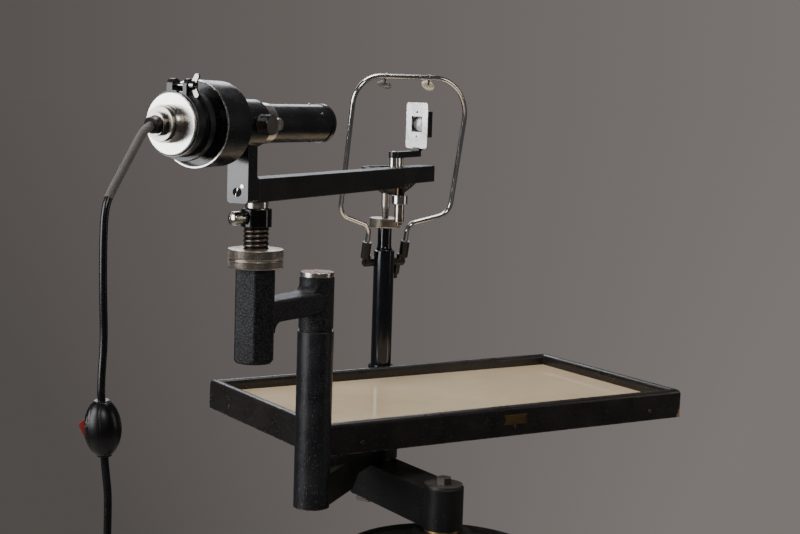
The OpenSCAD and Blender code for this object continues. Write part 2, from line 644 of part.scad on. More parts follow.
// Bar with its lamp upright
bar_back = 16;              // from the spindle's axis to the bar's rear end
bar_low = table_h + spindle_rise + play + swivel_flange_h;
bar_step = 4.4;             // the bar's underside is higher by this round the spring plunger
lens_back = 97.5;           // from the bar's free end back to the lens pivot
lens_in = bar_len - lens_back;
plunger_gap = 20.5;         // from the lens pivot on to the spring plunger
plunger_in = lens_in + plunger_gap;
step_gap = 13;              // from the plunger's axis back to that step
bar_step_in = plunger_in - step_gap;
bar_edge = 1.2;
pin_share = 0.75;           // share of the bar's height that the swivel pin fills
upright_far = 39.2;         // rear face of the upright, from the spindle's axis
upright_t = 17.2;
upright_fillet = 5;
upright_round = 4;
lamp_turn = -5.75;          // direction of the lamp, from the bar's
lamp_z = bar_low + lamp_rise;
lamp_in = upright_far - upright_t / 2;      // from the spindle's axis back to the upright's middle
lamp_neck_r = 25;
module at_lamp() at_bar() translate([-lamp_in, 0, lamp_z]) rotate(lamp_turn) rotate([0, right, 0]) children();
module lamp_bar() color("#19191a") at_bar() difference() {
    along_x(-bar_back) linear_extrude(bar_len + bar_back) polygon(rounded_points(
        -bar_low - bar_h, -bar_low, -bar_w / 2, bar_w / 2, bar_edge));
    translate([bar_step_in, -bar_w, bar_low - bar_h]) cube([bar_len, 2 * bar_w, bar_h + bar_step]);
    rod(swivel_r + fit, bar_low - cut, bar_low + bar_h * pin_share + fit);
    translate([lens_in, 0, 0]) rod(lens_pin_r + fit, bar_low + bar_h / 4, bar_low + bar_h + cut);
    translate([plunger_in, 0, 0]) rod(bush_r + fit, bar_low - cut, bar_low + bar_h + cut);
    upright_screw_hole();
}
upright_screw_r = 3;
upright_head_r = 4.7;
upright_screw_l = 30;
upright_screw_rise = 11.5;  // over the bar's underside
upright_screw_side = 0.5;
dowel_r = 2.1;
dowel_l = 30;
dowel_rise = 17.8;
dowel_side = -5.5;
module at_upright_face() at_bar() translate([-upright_far, 0, bar_low]) children();
module upright_screw_hole() {
    translate([-upright_far, upright_screw_side, 0]) along_x(-cut, bar_low + upright_screw_rise)
        rod(upright_screw_r + fit, 0, upright_screw_l + cut + fit);
    translate([-upright_far, dowel_side, 0]) along_x(-cut, bar_low + dowel_rise)
        rod(dowel_r + fit, 0, dowel_l + cut + fit);
}
module lamp_upright() color("#4a4952") difference() {
    at_bar() difference() {
        intersection() {
            translate([0, bar_w / 2, 0]) rotate([right, 0, 0]) linear_extrude(bar_w) polygon(concat(
                [[-upright_far, bar_low], [-bar_back, bar_low], [-bar_back, bar_low + bar_h]],
                arc(-bar_back, bar_low + bar_h + upright_fillet, upright_fillet, -right, -2 * right),
                [[-upright_far + upright_t, lamp_z], [-upright_far, lamp_z]]));
            along_x(-upright_far - cut) linear_extrude(upright_far + cut) polygon(rounded_points(
                -lamp_z - bar_w, -bar_low, -bar_w / 2, bar_w / 2, upright_round));
        }
        upright_screw_hole();
    }
    at_lamp() rod(lamp_neck_r + fit, -bar_w - upright_t, bar_w + upright_t);
}

// Lamp housing: hood and neck in one piece
hood_rear = -80.4;          // places along the lamp's axis, from the upright's middle
hood_front = -39.5;
neck_front = 15;
band_front = 34.4;
hood_taper = 0.8;
hood_wall = 1.2;            // at the hood's front
hood_bore = hood_r - hood_taper - hood_wall;
hood_face_round = 3;
module lamp_hood() color("#1c1c20") difference() {
    at_lamp() turned(concat([[tube_r + fit, hood_front - hood_wall], [hood_bore, hood_front - hood_wall],
        [hood_bore, hood_rear], [hood_r, hood_rear]],
        arc(hood_r - hood_taper - hood_face_round, hood_front - hood_face_round,
            hood_face_round, 0, right, 4),
        [[lamp_neck_r, hood_front], [lamp_neck_r, neck_front], [tube_r + fit, neck_front]]));
    at_knob() rod(knob_stem_r + fit, 0, lamp_neck_r + cut);
}
band_r = 21.6;
band_gap = 0.3;
lug_back = 31;              // middle of the band's screw lug
band_lug_r = 6.8;
band_lug_out = 22.8;
band_screw_r = 6.3;
band_screw_h = 1.6;
band_slot = 1.1;
module at_side(t, turn_by = 0) at_lamp() rotate(turn_by) translate([0, 0, t])
    rotate([right, 0, 0]) children();
module slit_band() color("#b5aca0") difference() {
    union() {
        at_lamp() rod(band_r, neck_front + band_gap, band_front);
        at_side(lug_back) rod(band_lug_r, 0, band_lug_out);
    }
    at_lamp() rod(tube_r + fit, -bar_w, band_front + bar_w);
}
tube_back = -14;            // rear end of the slit tube
tube_wall = 2;
tube_lip = 1;
tube_lip_l = 5;
tube_end = band_front + tube_len + tube_lip_l;
module slit_tube() color("#141416") difference() {
    at_lamp() turned([[tube_r - tube_wall, tube_back], [tube_r, tube_back], [tube_r, tube_end - tube_lip_l],
        [tube_r + tube_lip, tube_end - tube_lip_l], [tube_r + tube_lip, tube_end],
        [tube_r - tube_wall / 2, tube_end], [tube_r - tube_wall, tube_end - tube_wall]]);
    at_knob() rod(knob_stem_r + fit, 0, lamp_neck_r + cut);
}
lens_edge = 1.5;            // half the thickness of a lens at its edge
lens_crown = 3;             // how far each of its faces bulges
front_lens_in = 6;          // from the tube's end to the front lens's middle
rear_lens_in = 10;          // from the tube's rear end to the rear lens's middle
module lens_shape(r, e, crown) turned(concat([for (i = [0:6]) [r * i / 6, -e - crown * (1 - i * i / 36)]],
    [for (i = [6:-1:0]) [r * i / 6, e + crown * (1 - i * i / 36)]]));
module tube_lenses() color("#c9d6d8") at_lamp() for (t = [tube_back + rear_lens_in, tube_end - front_lens_in])
    translate([0, 0, t]) lens_shape(tube_r - tube_wall - fit, lens_edge, lens_crown);
knob_t = -2;                // place of the knurled knob along the lamp's axis
knob_r = 10.6;
knob_in = 25.3;             // its inner and outer face, from the lamp's axis
knob_out = 39;
knob_stem_r = 3;
knob_stem_in = 19;
knob_edge = 0.8;
module at_knob() at_side(knob_t) children();
module slit_knob() color("#26241f") at_knob() {
    turned(disc_points(knob_r, knob_in, knob_out, knob_edge));
    rod(knob_stem_r, knob_stem_in, knob_in + cut);
}
tube_screw_r = 1.7;
tube_screw_h = 1.2;
tube_screw_in = 23;         // from the tube's end
module lamp_screws() color("#9c958b") {
    at_upright_face() {
        translate([0, upright_screw_side, 0]) along_x(-fit, upright_screw_rise) difference() {
            union() {
                rod(upright_screw_r, 0, upright_screw_l);
                rod(upright_head_r, -tube_screw_h, 0);
            }
            translate([-upright_head_r, -band_slot / 2, -tube_screw_h - cut])
                cube([2 * upright_head_r, band_slot, cut + tube_screw_h / 2]);
        }
        translate([0, dowel_side, 0]) along_x(-fit, dowel_rise) rod(dowel_r, -tube_screw_h / 2, dowel_l);
    }
    at_side(lug_back) difference() {
        rod(band_screw_r, band_lug_out, band_lug_out + band_screw_h);
        translate([-band_screw_r, -band_slot / 2, band_lug_out + band_screw_h / 2])
            cube([2 * band_screw_r, band_slot, band_screw_h]);
    }
    for (a = [-right, -right / 3, right]) at_side(tube_end - tube_screw_in, a)
        rod(tube_screw_r, tube_r, tube_r + tube_screw_h);
}

// Carrier in the hood, with a split clamp that holds the lamp insert
cap_face_r = 30.8;          // the bright cap that slides in it
carrier_low = -113;         // places along the lamp's axis, from the upright's middle
carrier_step = -98.5;
carrier_ring = -92;
guide_rear = -74;
guide_front = -52;
carrier_r = 32.5;
carrier_ring_r = 36.5;
carrier_bore = cap_face_r + fit;
clamp_t = -106.5;           // place of the clamp screw along the lamp's axis
clamp_rise = 37.5;          // of that screw over the lamp's axis
clamp_screw_r = 2;
ear_r = 6.4;
far_ear = [-8, -1];         // each ear's two faces, across the lamp's axis
near_ear = [12, 16.5];
slot_at = 6;                // middle of the clamp's slot, and half its width
slot_half = 1.5;
module at_clamp() at_lamp() translate([-clamp_rise, 0, clamp_t]) rotate([right, 0, 0]) children();
module ear(faces) hull() {
    at_clamp() rod(ear_r, faces[0], faces[1], $fn = 32);
    at_clamp() translate([clamp_rise - carrier_r + ear_r, 0, 0]) rod(ear_r, faces[0], faces[1], $fn = 32);
}
module lamp_carrier() color("#16161a") difference() {
    union() {
        at_lamp() turned([[carrier_bore, carrier_low], [carrier_r, carrier_low], [carrier_r, carrier_step],
            [carrier_ring_r, carrier_step], [carrier_ring_r, carrier_ring], [carrier_r, carrier_ring],
            [carrier_r, guide_rear], [hood_bore - fit, guide_rear], [hood_bore - fit, guide_front],
            [carrier_bore, guide_front]]);
        ear(far_ear);
        ear(near_ear);
    }
    at_lamp() rod(carrier_bore, carrier_low - cut, guide_front + cut);
    at_lamp() translate([-clamp_rise, -slot_at - slot_half, carrier_low - cut])
        cube([clamp_rise, 2 * slot_half, carrier_step - carrier_low + cut]);
    at_clamp() rod(clamp_screw_r + fit, far_ear[0] - cut, near_ear[1] + cut);
}
wing_hub_r = 4.6;
wing_hub_l = 5.5;
wing_t = 2.6;
wing_span = 11.5;           // from the screw's axis to a wing's tip
wing_flare = 5;
wing_tip_r = 2.6;
module wing_screw() color("#d5d0c8") at_clamp() {
    z = near_ear[1] + play;
    rod(clamp_screw_r, far_ear[0] + play, z + cut);
    rod(wing_hub_r, z, z + wing_hub_l);
    for (side = [0, 2 * right]) rotate(side) hull() {
        translate([0, 0, z + wing_hub_l / 2]) rotate([right, 0, 0])
            rod(wing_hub_l / 2, -wing_t / 2, wing_t / 2, $fn = 32);
        translate([wing_span - wing_tip_r, 0, z + wing_hub_l / 2 + wing_flare])
            rotate([right, 0, 0]) rod(wing_tip_r, -wing_t / 2, wing_t / 2, $fn = 32);
    }
}

// Lamp insert: cap, socket, bulb and cord gland, which slide together in the clamp
cap_face = -116.5;          // rear face of the bright cap
cap_in = -94;               // end of the cap's skirt
cap_face_t = 3.5;
cap_face_round = 1.4;
cap_skirt_t = 1.6;
socket_r = 18.4;            // steps of the socket outside the cap
socket_step_1 = -128;
socket_mid_r = 16.8;
socket_step_2 = -132.5;
socket_end_r = 11.3;
socket_end = -138.5;
socket_in_r = 15;
socket_in = -90;
socket_groove = 0.7;
cap_base_r = 9.4;           // the bulb's base
bulb_r = 15.5;
bulb_in = -104;
glass_start = -84;
glass_mid = -68;
glass_end = -51.5;
gland_turn = 15;            // the gland leans down by this
gland_r = 8.4;
gland_bore = cord_d / 2 + fit;
gland_in = 8;               // how far it sits in the socket
gland_out = 6.2;
gland_at = -138.5;
module lamp_cap() color("#e4e1da") at_lamp() turned(concat([[socket_r + fit, cap_face]],
    arc(cap_face_r - cap_face_round, cap_face + cap_face_round, cap_face_round, -right, 0, 4),
    [[cap_face_r, cap_in], [cap_face_r - cap_skirt_t, cap_in],
    [cap_face_r - cap_skirt_t, cap_face + cap_face_t], [socket_r + fit, cap_face + cap_face_t]]));
module lamp_socket() color("#b9b2a6") difference() {
    at_lamp() difference() {
        turned([[0, socket_end], [socket_end_r, socket_end], [socket_end_r, socket_step_2],
            [socket_mid_r, socket_step_2], [socket_mid_r, socket_step_1], [socket_r, socket_step_1],
            [socket_r, cap_face + cap_face_t + cut], [socket_in_r, cap_face + cap_face_t + cut],
            [socket_in_r, socket_in], [0, socket_in]]);
        for (k = [1:3]) translate([0, 0, socket_step_1 + k * 2 * socket_groove]) rotate_extrude()
            polygon([[socket_r + cut, -socket_groove - cut], [socket_r - socket_groove, 0],
                [socket_r + cut, socket_groove + cut]]);
        rod(cap_base_r + fit, bulb_in, socket_in + cut);
    }
    at_gland() rod(gland_r - play + fit, -gland_in, gland_out);
    at_gland() rod(gland_r + fit, 0, gland_out + cut);
}
module bulb() color("#e9e4d6") at_lamp() turned(concat([[0, bulb_in + fit], [cap_base_r, bulb_in + fit],
    [cap_base_r, glass_start]], [for (a = [0:right / 6:right])
        [cap_base_r + (bulb_r - cap_base_r) * sin(a),
            glass_start + (glass_mid - glass_start) * (1 - cos(a))]],
    [for (a = [right / 6:right / 6:right]) [bulb_r * cos(a), glass_mid + (glass_end - glass_mid) * sin(a)]]));
module at_gland() at_lamp() translate([0, 0, gland_at]) rotate([0, 2 * right - gland_turn, 0]) children();
module cord_gland() color("#22201e") at_gland() difference() {
    union() {
        rod(gland_r - play, -gland_in + fit, 0);
        turned(ring_points(gland_r, 0, 0, gland_out, ring_edge));
    }
    rod(gland_bore, -gland_in, gland_out + cut);
}

// Swing lens near the bar's free end, with a spring plunger that holds it in line
lens_pin_r = 5.1;
plunger_r = 3.2;
bush_r = 6;
bush_flange_r = 10.5;
bush_flange_h = 3;
bush_low = 10.6;            // from the bar's underside down to the nut's top face
nut_r = 10;
nut_h = 10.9;
sleeve_r = 6.1;             // the plunger's pull sleeve
sleeve_l = 22.8;
tip_l = 3.8;
tip_r = 3.8;
crank_rise = 12;            // from the bar's top to the crank's underside
crank_t = 7.7;
crank_r = 6.4;
crank_half = 4.4;
crank_reach = 70;           // from the pivot to the crank's end
crank_step = 4.1;
crank_step_l = 11;
plate_in = 64.5;            // from the pivot to the lens plate's rear face
plate_thick = 2.6;
plate_w = 29.8;
plate_h = 58.4;
plate_round = 3.8;
plate_rise = 10.5;          // from the crank's underside to the plate's lower edge
window_w = 15;
window_h = 20;
window_rise = 30.9;         // from the plate's lower edge to the window's middle
plate_screw_gap = 15.5;     // from the window's middle to each small screw
plate_hole_r = 1.2;
holder_l = 14.5;
holder_half = 14;
holder_h = 33;
bevel_share = 0.7;          // share of its height where the holder's bevel ends
lens_r = 9.4;
lens_half = 1;
lens_bulge = 1.6;
bar_top = bar_low + bar_h;
module at_plunger() at_bar() translate([plunger_in, 0, 0]) children();
module at_lens() at_bar() translate([lens_in, 0, 0]) children();
module plunger_bush() color("#8a6a3c") at_plunger() difference() {
    union() {
        rod(bush_r, bar_low - bush_low - nut_h / 2, bar_top - bar_edge);
        rod(bush_flange_r, bar_low + bar_step - bush_flange_h, bar_low + bar_step);
    }
    rod(plunger_r + fit, bar_low - bush_low - nut_h, bar_top + cut);
}
module lens_nut() color("#a9a297") at_plunger()
    pipe(nut_r, bush_r + fit, bar_low - bush_low - nut_h, bar_low - bush_low);
module lens_plunger() color("#7b7266") at_plunger() {
    z = bar_low - bush_low - nut_h - play;
    rod(plunger_r, z - cut, bar_top + crank_rise - play);
    rod(sleeve_r, z - sleeve_l, z);
    rod(tip_r, z - sleeve_l - tip_l, z - sleeve_l + cut);
}
module lens_crank() color("#1c1b1b") at_lens() {
    z = bar_top + crank_rise;
    rod(lens_pin_r, bar_low + bar_h / 4 + fit, z + cut);
    hull() {
        rod(crank_r, z, z + crank_t, $fn = 32);
        translate([crank_reach, 0, 0]) rod(crank_half, z, z + crank_t, $fn = 32);
    }
    translate([crank_reach + crank_half - crank_step_l, -crank_half, z + crank_t])
        cube([crank_step_l, 2 * crank_half, crank_step]);
}
module plate_face(w, h, r) rotate([right, 0, right]) linear_extrude(plate_thick)
    polygon(rounded_points(-w / 2, w / 2, 0, h, r));
module at_plate() at_lens() translate([plate_in, 0, bar_top + crank_rise + plate_rise]) children();
module lens_plate() color("#d9d6cf") at_plate() difference() {
    plate_face(plate_w, plate_h, plate_round);
    translate([-cut, -window_w / 2, window_rise - window_h / 2])
        cube([plate_thick + 2 * cut, window_w, window_h]);
    for (side = [-1, 1]) along_x(-cut, window_rise + side * plate_screw_gap)
        rod(plate_hole_r, 0, plate_thick + 2 * cut);
    translate([-cut, -crank_half - fit, -cut])
        cube([plate_thick + 2 * cut, 2 * (crank_half + fit), crank_t + crank_step - plate_rise + cut + fit]);
}
module lens_holder() color("#1a1a1b") at_plate() difference() {
    along_x(plate_thick, window_rise) intersection() {
        linear_extrude(holder_l) square([holder_h, 2 * holder_half], center = true);
        rotate(turn / 8) cylinder(r1 = holder_h * bevel_share + holder_l, r2 = holder_h * bevel_share,
            h = holder_l + fit, $fn = 4);
    }
    along_x(plate_thick - cut, window_rise) rod(lens_r + fit, 0, holder_l + 2 * cut);
}
module lens() color("#cfe0e4") at_plate() along_x(plate_thick + holder_l / 2, window_rise)
    lens_shape(lens_r, lens_half, lens_bulge);

// Chin rest on a screw that the chin ring lifts
chin_ring_r = 22;
chin_ring_h = 13.3;
chin_thread_l = 15.2;       // thread that shows over the ring
chin_shaft_2_r = 6;
chin_shaft_2_l = 18;
cup_rise = 284.5;           // of the chin cup's rim over the tray's upper edge
cup_floor = 5;
cup_x = 11;                 // the cup's middle, from the post's axis
cup_d = 54;
cup_wall = 3;
cup_edge = 2;               // upright part of the rim
cup_steps = 32;
// The cup's outline at some levels: shares of its height, and of its width and depth there
cup_shares = [[0, 0.28], [0.5, 0.78], [0.8, 0.95], [1, 1]];
module chin_ring() color("#8f877c") at_head_post() difference() {
    z = table_h + neck_top_rise + fit;
    turned(ring_points(chin_ring_r, chin_shaft_r + fit, z, z + chin_ring_h, ring_edge));
}
module bowl(z0, z1, inset) hull() for (q = cup_shares)
    translate([cup_x, 0, z0 + (z1 - z0 - cup_edge) * q[0]]) linear_extrude(cup_edge)
        polygon([for (k = [1:cup_steps]) let (a = turn * k / cup_steps)
            [(chin_w / 2 * q[1] - inset) * cos(a), (cup_d / 2 * q[1] - inset) * sin(a)]]);
module chin_rest() color("#17171a") at_head_post() {
    z = table_h + neck_top_rise + fit + chin_ring_h;
    cup_z = z + chin_thread_l + chin_shaft_2_l;
    rod(chin_shaft_r, z - chin_ring_h - chin_bore_depth + chin_slot, z + chin_thread_l + cut);
    rod(chin_shaft_2_r, z + chin_thread_l, cup_z + cup_wall);
    difference() {
        bowl(cup_z, table_h + cup_rise, 0);
        bowl(cup_z + cup_floor, table_h + cup_rise + cut, cup_wall);
    }
}

// Head rest: two elbows on the hinge pins, and a bent wire with two brow pads
lean = 12;                  // the frame leans towards the examiner
left_leg = -29.5;           // places of the wire, from the post's axis and up from the hinge
right_leg = 34;
elbow_r = 6.5;
elbow_low = 5;
elbow_top = 30.5;
wire_seat = 17;             // how far down the wire's ends reach
elbow_chamfer = 2.5;
elbow_lug_r = 6;
stop_arm_r = 4.4;
stop_arm_x = 26;
stop_arm_down = 16;
stop_screw_r = 2.4;
stop_screw_l = 9;
top_h = 269;                // middle of the wire's top run
top_left = -84;
top_right = 103.5;
low_left = [-80, 71.5];
low_right = [102.5, 70.5];
leg_left_top = 53.5;
leg_right_top = 55.5;
low_inner_bend = 15;
low_outer_bend = 22;
top_left_bend = 38;
top_right_bend = 60;
module at_lean() at_hinge() rotate([lean, 0, 0]) children();
module head_elbows() color("#1c1a19") at_lean() difference() {
    union() {
        for (side = [-1, 1]) to_side(side) {
            out = leg_out(side);
            web_r = min(elbow_lug_r - cut, (out - lug_out - play) / 2);
            translate([out, 0, 0]) turned([[0, elbow_low], [elbow_r - elbow_chamfer, elbow_low],
                [elbow_r, elbow_low + elbow_chamfer], [elbow_r, elbow_top], [0, elbow_top]]);
            along_x(lug_out + play) rod(elbow_lug_r, 0, out - lug_out - play);
            translate([out - web_r, 0, 0]) rod(web_r, 0, elbow_r + elbow_low);
        }
        hull() for (z = [-stop_arm_down, 0]) translate([stop_arm_x, 0, z]) sphere(stop_arm_r, $fn = 32);
        translate([stop_arm_x, 0, 0]) rod(stop_screw_r, -stop_arm_down - stop_screw_l, -stop_arm_down);
    }
    translate([left_leg, 0, 0]) rod(wire_r + fit, wire_seat - fit, elbow_top + cut);
    translate([right_leg, 0, 0]) rod(wire_r + fit, wire_seat - fit, elbow_top + cut);
    along_x(-right_leg - cut) rod(hinge_pin_r + fit, 0, 2 * (right_leg + cut));
}
function perp(u) = [-u[1], u[0]];
// Points round one corner of a bent wire, in the wire's plane
function corner(a, p, b, r) = let (u = unit(p - a), v = unit(b - p), side = sign(cross(u, v)),
    bend = acos(u * v), start = p - u * r * tan(bend / 2), mid = start + side * r * perp(u))
    [for (i = [0:5]) let (t = side * bend * i / 5)
        mid - side * r * perp([u[0] * cos(t) - u[1] * sin(t), u[0] * sin(t) + u[1] * cos(t)])];
wire_corners = [[left_leg, wire_seat], [left_leg, leg_left_top], low_left, [top_left, top_h],
    [top_right, top_h], low_right, [right_leg, leg_right_top], [right_leg, wire_seat]];
wire_bends = [0, low_inner_bend, low_outer_bend, top_left_bend, top_right_bend, low_outer_bend,
    low_inner_bend, 0];
wire_points = concat([wire_corners[0]], [for (i = [1:6])
    each corner(wire_corners[i - 1], wire_corners[i], wire_corners[i + 1], wire_bends[i])],
    [wire_corners[7]]);
module head_frame() color("#cdbfae") at_lean()
    swept([for (q = wire_points) [q[0], 0, q[1]]], wire_r, 12, [0, 1, 0]);
pad_spots = [[-37.4, 257.4, 18], [33.5, 257.9, 34]];     // place across and up, and tilt
brow_pad_r = 9.8;
brow_pad_t = 3;
clip_r = 4.2;
clip_l = 4;
stem_r = 1.4;
module brow_pads() color("#d8cbb0") at_lean() difference() {
    for (q = pad_spots) {
        translate([q[0], 0, q[1]]) rotate([q[2], 0, 0]) translate([0, 0, -brow_pad_t / 2])
            turned(disc_points(brow_pad_r, 0, brow_pad_t, ring_edge));
        translate([q[0], 0, 0]) rod(stem_r, q[1], top_h);
        along_x(q[0] - clip_l / 2, top_h) rod(clip_r, 0, clip_l);
    }
    along_x(top_left, top_h) rod(wire_r + fit, 0, top_right - top_left);
}

// Cord, in the lamp's plane: along the lamp's axis from the upright, and up from the floor
cord_sides = 10;
upper_route = [[-138.5, 1134], [-144.3, 1132.45], [-150.5, 1129.6], [-156.5, 1125], [-163, 1117.6],
    [-172, 1106], [-185, 1089.5], [-197, 1074], [-204, 1063], [-207.5, 1050], [-208.8, 1030],
    [-209, 1000], [-208.3, 970], [-207.3, 945], [-207.6, 925], [-209.4, 902], [-210, 885.4], [-209.3, 877.4]];
lower_route = [[-204.6, 823.6], [-203.9, 815.6], [-202, 803], [-199.6, 785], [-199.3, 760], [-200.5, 720],
    [-204, 660], [-209, 580], [-214, 490], [-219, 390], [-223, 290], [-226, 200], [-227, 130], [-227, 80],
    [-227, 47], [-224.3, 33.6], [-216.7, 22.2], [-205.4, 14.6], [-192, 11.95], [-184.5, 11.95]];
module at_cord() at_bar() translate([-lamp_in, 0, 0]) rotate(lamp_turn) children();
module cord_tube(route, steps) swept([for (q = smooth(route, steps)) [q[0], 0, q[1]]],
    cord_d / 2, cord_sides, [0, 1, 0]);
module cord_upper() color("#5c5852") at_cord() cord_tube(upper_route, 2);
module cord_lower() color("#17171a") at_cord() cord_tube(lower_route, 2);

// Switch on the cord
switch_at = [-206.95, 0, 850.5];
switch_turn = -5;
switch_half = 27;
switch_r = 17.3;
switch_end_r = 6.5;
rocker_turn = 121;          // direction of the rocker
rocker_w = 8;
rocker_half = 8.5;
rocker_out = 22;            // its ridge, from the switch's axis
rocker_side = 16.8;         // its two ends, from the switch's axis
rocker_ridge = 4.5;         // height of the ridge over the rocker's middle
rocker_pin_in = 12.4;       // its pin, from the switch's axis
rocker_pin_r = 1.5;
rocker_depth = 4.4;
rocker_gap = 0.65;          // past each end, for its tilt
module at_switch() at_cord() translate(switch_at) rotate([0, switch_turn, 0]) children();
module switch_body() color("#18171a") at_switch() difference() {
    turned(concat([[0, -switch_half]], [for (k = [-8:8]) let (a = right * k / 8)
        [switch_end_r + (switch_r - switch_end_r) * cos(a) * cos(a), switch_half * sin(a)]],
        [[0, switch_half]]));
    rotate(rocker_turn) {
        translate([rocker_pin_in - rocker_depth, -rocker_w / 2 - play, -rocker_half - rocker_gap])
            cube([switch_r, rocker_w + 2 * play, 2 * (rocker_half + rocker_gap)]);
        translate([rocker_pin_in, rocker_w, 0]) rotate([right, 0, 0])
            rod(rocker_pin_r + fit, 0, 2 * rocker_w);
    }
}
module switch_rocker() color("#b0231a") at_switch() rotate(rocker_turn) {
    translate([0, rocker_w / 2, 0]) rotate([right, 0, 0]) linear_extrude(rocker_w) polygon([
        [rocker_pin_in - rocker_pin_r, -rocker_half / 2], [rocker_side, -rocker_half],
        [rocker_out, rocker_ridge], [rocker_side, rocker_half],
        [rocker_pin_in - rocker_pin_r, rocker_half / 2]]);
    translate([rocker_pin_in, rocker_w - fit, 0]) rotate([right, 0, 0])
        rod(rocker_pin_r, 0, 2 * (rocker_w - fit));
}

// Coil of the spare cord on the floor: a spiral in on the upper layer and out on the lower one
coil_at = [-177, 51.5];
coil_r = 51.5;
coil_pitch = 9.4;
coil_top = 11.95;
coil_low = 3.75;
coil_in_turns = 2.25;
coil_climb = 0.5;
coil_turns = 5.25;
coil_sides = 6;
loop_steps = 24;
tail_rise = 34;             // length over which the tail climbs to the plug
tail_z = 8;
function eased(t) = t * t * (3 - 2 * t);
function coil_point(n) = let (a = -right + turn * n, out = coil_in_turns + coil_climb,
    r = coil_r - coil_pitch * (n < coil_in_turns ? n : n < out ? coil_in_turns : coil_in_turns - (n - out)),
    z = coil_top + (coil_low - coil_top) * eased(min(1, max(0, (n - coil_in_turns) / coil_climb))))
    [coil_at[0] + r * cos(a), coil_at[1] + r * sin(a), z];
coil_end = coil_point(coil_turns);
coil_loops = [for (i = [0:coil_turns * loop_steps]) coil_point(i / loop_steps)];
coil_points = concat([coil_loops[0] - [cord_d, 0, 0]], coil_loops,
    [for (t = [0.2:0.2:1]) coil_end + [0, tail_rise * t, (tail_z - coil_low) * eased(t)]],
    [coil_end + [0, tail_rise + cord_d, tail_z - coil_low]]);
coil_gap = min([for (i = [0:len(coil_loops) - 1]) for (k = [i + loop_steps / 2:1:len(coil_loops) - 1])
    norm(coil_loops[i] - coil_loops[k])]) - cord_d;
echo(coil_gap = coil_gap);
module cord_coil() color("#17171a") at_cord() swept(coil_points, cord_d / 2, coil_sides, [0, 1, 0]);
plug_w = 25;
plug_t = 16;
plug_l = 24;
plug_round = 6;
relief_l = 22;
relief_r = 5.4;
relief_end_r = 7;
blade_gap = 6.35;           // from the plug's middle to each blade
blade_w = 6.3;
blade_t = 1.5;
blade_l = 16;
module plug() color("#1a1a1d") at_cord() translate(coil_end + [0, tail_rise + cord_d, tail_z - coil_low])
    rotate([-right, 0, 0]) {
        cylinder(r1 = relief_r, r2 = relief_end_r, h = relief_l + cut);
        translate([0, 0, relief_l]) linear_extrude(plug_l)
            polygon(rounded_points(-plug_w / 2, plug_w / 2, -plug_t / 2, plug_t / 2, plug_round));
        for (side = [-1, 1])
            translate([side * blade_gap - blade_t / 2, -blade_w / 2, relief_l + plug_l - cut])
            cube([blade_t, blade_w, blade_l + cut]);
    }

floor_base();
column_tube();
height_wheel();
column_screw();
thrust_washer();
lower_arm();
hub_bolt();
table_bracket();
pivot_pin();
table_screws();
lamp_post();
rail_front();
rail_back();
rail_left();
rail_right();
tray_board();
tray_panel();
label_plate();
head_post();
head_yoke();
knuckle_arm();
knuckle_cap();
stop_ring();
adjusting_ring();
lift_spindle();
clamp_collar();
thumb_screw();
swivel_pin();
lamp_bar();
lamp_upright();
lamp_screws();
lamp_hood();
slit_band();
slit_knob();
slit_tube();
tube_lenses();
lamp_carrier();
lamp_cap();
lamp_socket();
bulb();
cord_gland();
wing_screw();
plunger_bush();
lens_nut();
lens_plunger();
lens_crank();
lens_plate();
lens_holder();
lens();
chin_ring();
chin_rest();
head_elbows();
head_frame();
brow_pads();
cord_upper();
switch_body();
switch_rocker();
cord_lower();
cord_coil();
plug();
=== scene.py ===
import json
import math

import bpy
from mathutils import Matrix, Vector


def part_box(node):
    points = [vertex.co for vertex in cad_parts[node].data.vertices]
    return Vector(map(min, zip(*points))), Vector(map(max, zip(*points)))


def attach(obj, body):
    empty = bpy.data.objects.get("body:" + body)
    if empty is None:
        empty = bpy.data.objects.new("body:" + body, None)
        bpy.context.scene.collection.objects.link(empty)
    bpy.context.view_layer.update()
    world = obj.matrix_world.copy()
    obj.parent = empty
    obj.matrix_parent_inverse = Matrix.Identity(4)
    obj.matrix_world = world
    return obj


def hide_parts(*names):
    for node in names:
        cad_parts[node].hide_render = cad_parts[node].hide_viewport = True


# Exam table with a lamp arm, a swing lens and a chin and head rest. Metres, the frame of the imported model.
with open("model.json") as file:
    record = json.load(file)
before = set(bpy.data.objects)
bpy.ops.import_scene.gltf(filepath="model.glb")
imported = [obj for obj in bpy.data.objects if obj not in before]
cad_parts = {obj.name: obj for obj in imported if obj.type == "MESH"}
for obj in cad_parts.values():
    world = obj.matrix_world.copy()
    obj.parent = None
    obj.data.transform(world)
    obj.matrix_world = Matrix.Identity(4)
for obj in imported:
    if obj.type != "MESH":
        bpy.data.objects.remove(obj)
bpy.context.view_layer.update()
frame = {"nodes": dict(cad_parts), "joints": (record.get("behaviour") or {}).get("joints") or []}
nodes = frame["nodes"]
scene = bpy.context.scene
turn = 2 * math.pi
print("frame loaded:", len(nodes), "nodes")


def joint(name):
    return next(j for j in frame["joints"] if j["name"] == name)


def middle(node):
    low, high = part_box(node)
    return (low + high) / 2


# Camera, at the photo's angle
cameraSetup = dict(azimuth=31.9, tilt=6.647, roll=1.851, focalPixels=1528.4, imageWidth=800, sensor=36,
                   place=(-0.9798, -1.4612, 1.1747))


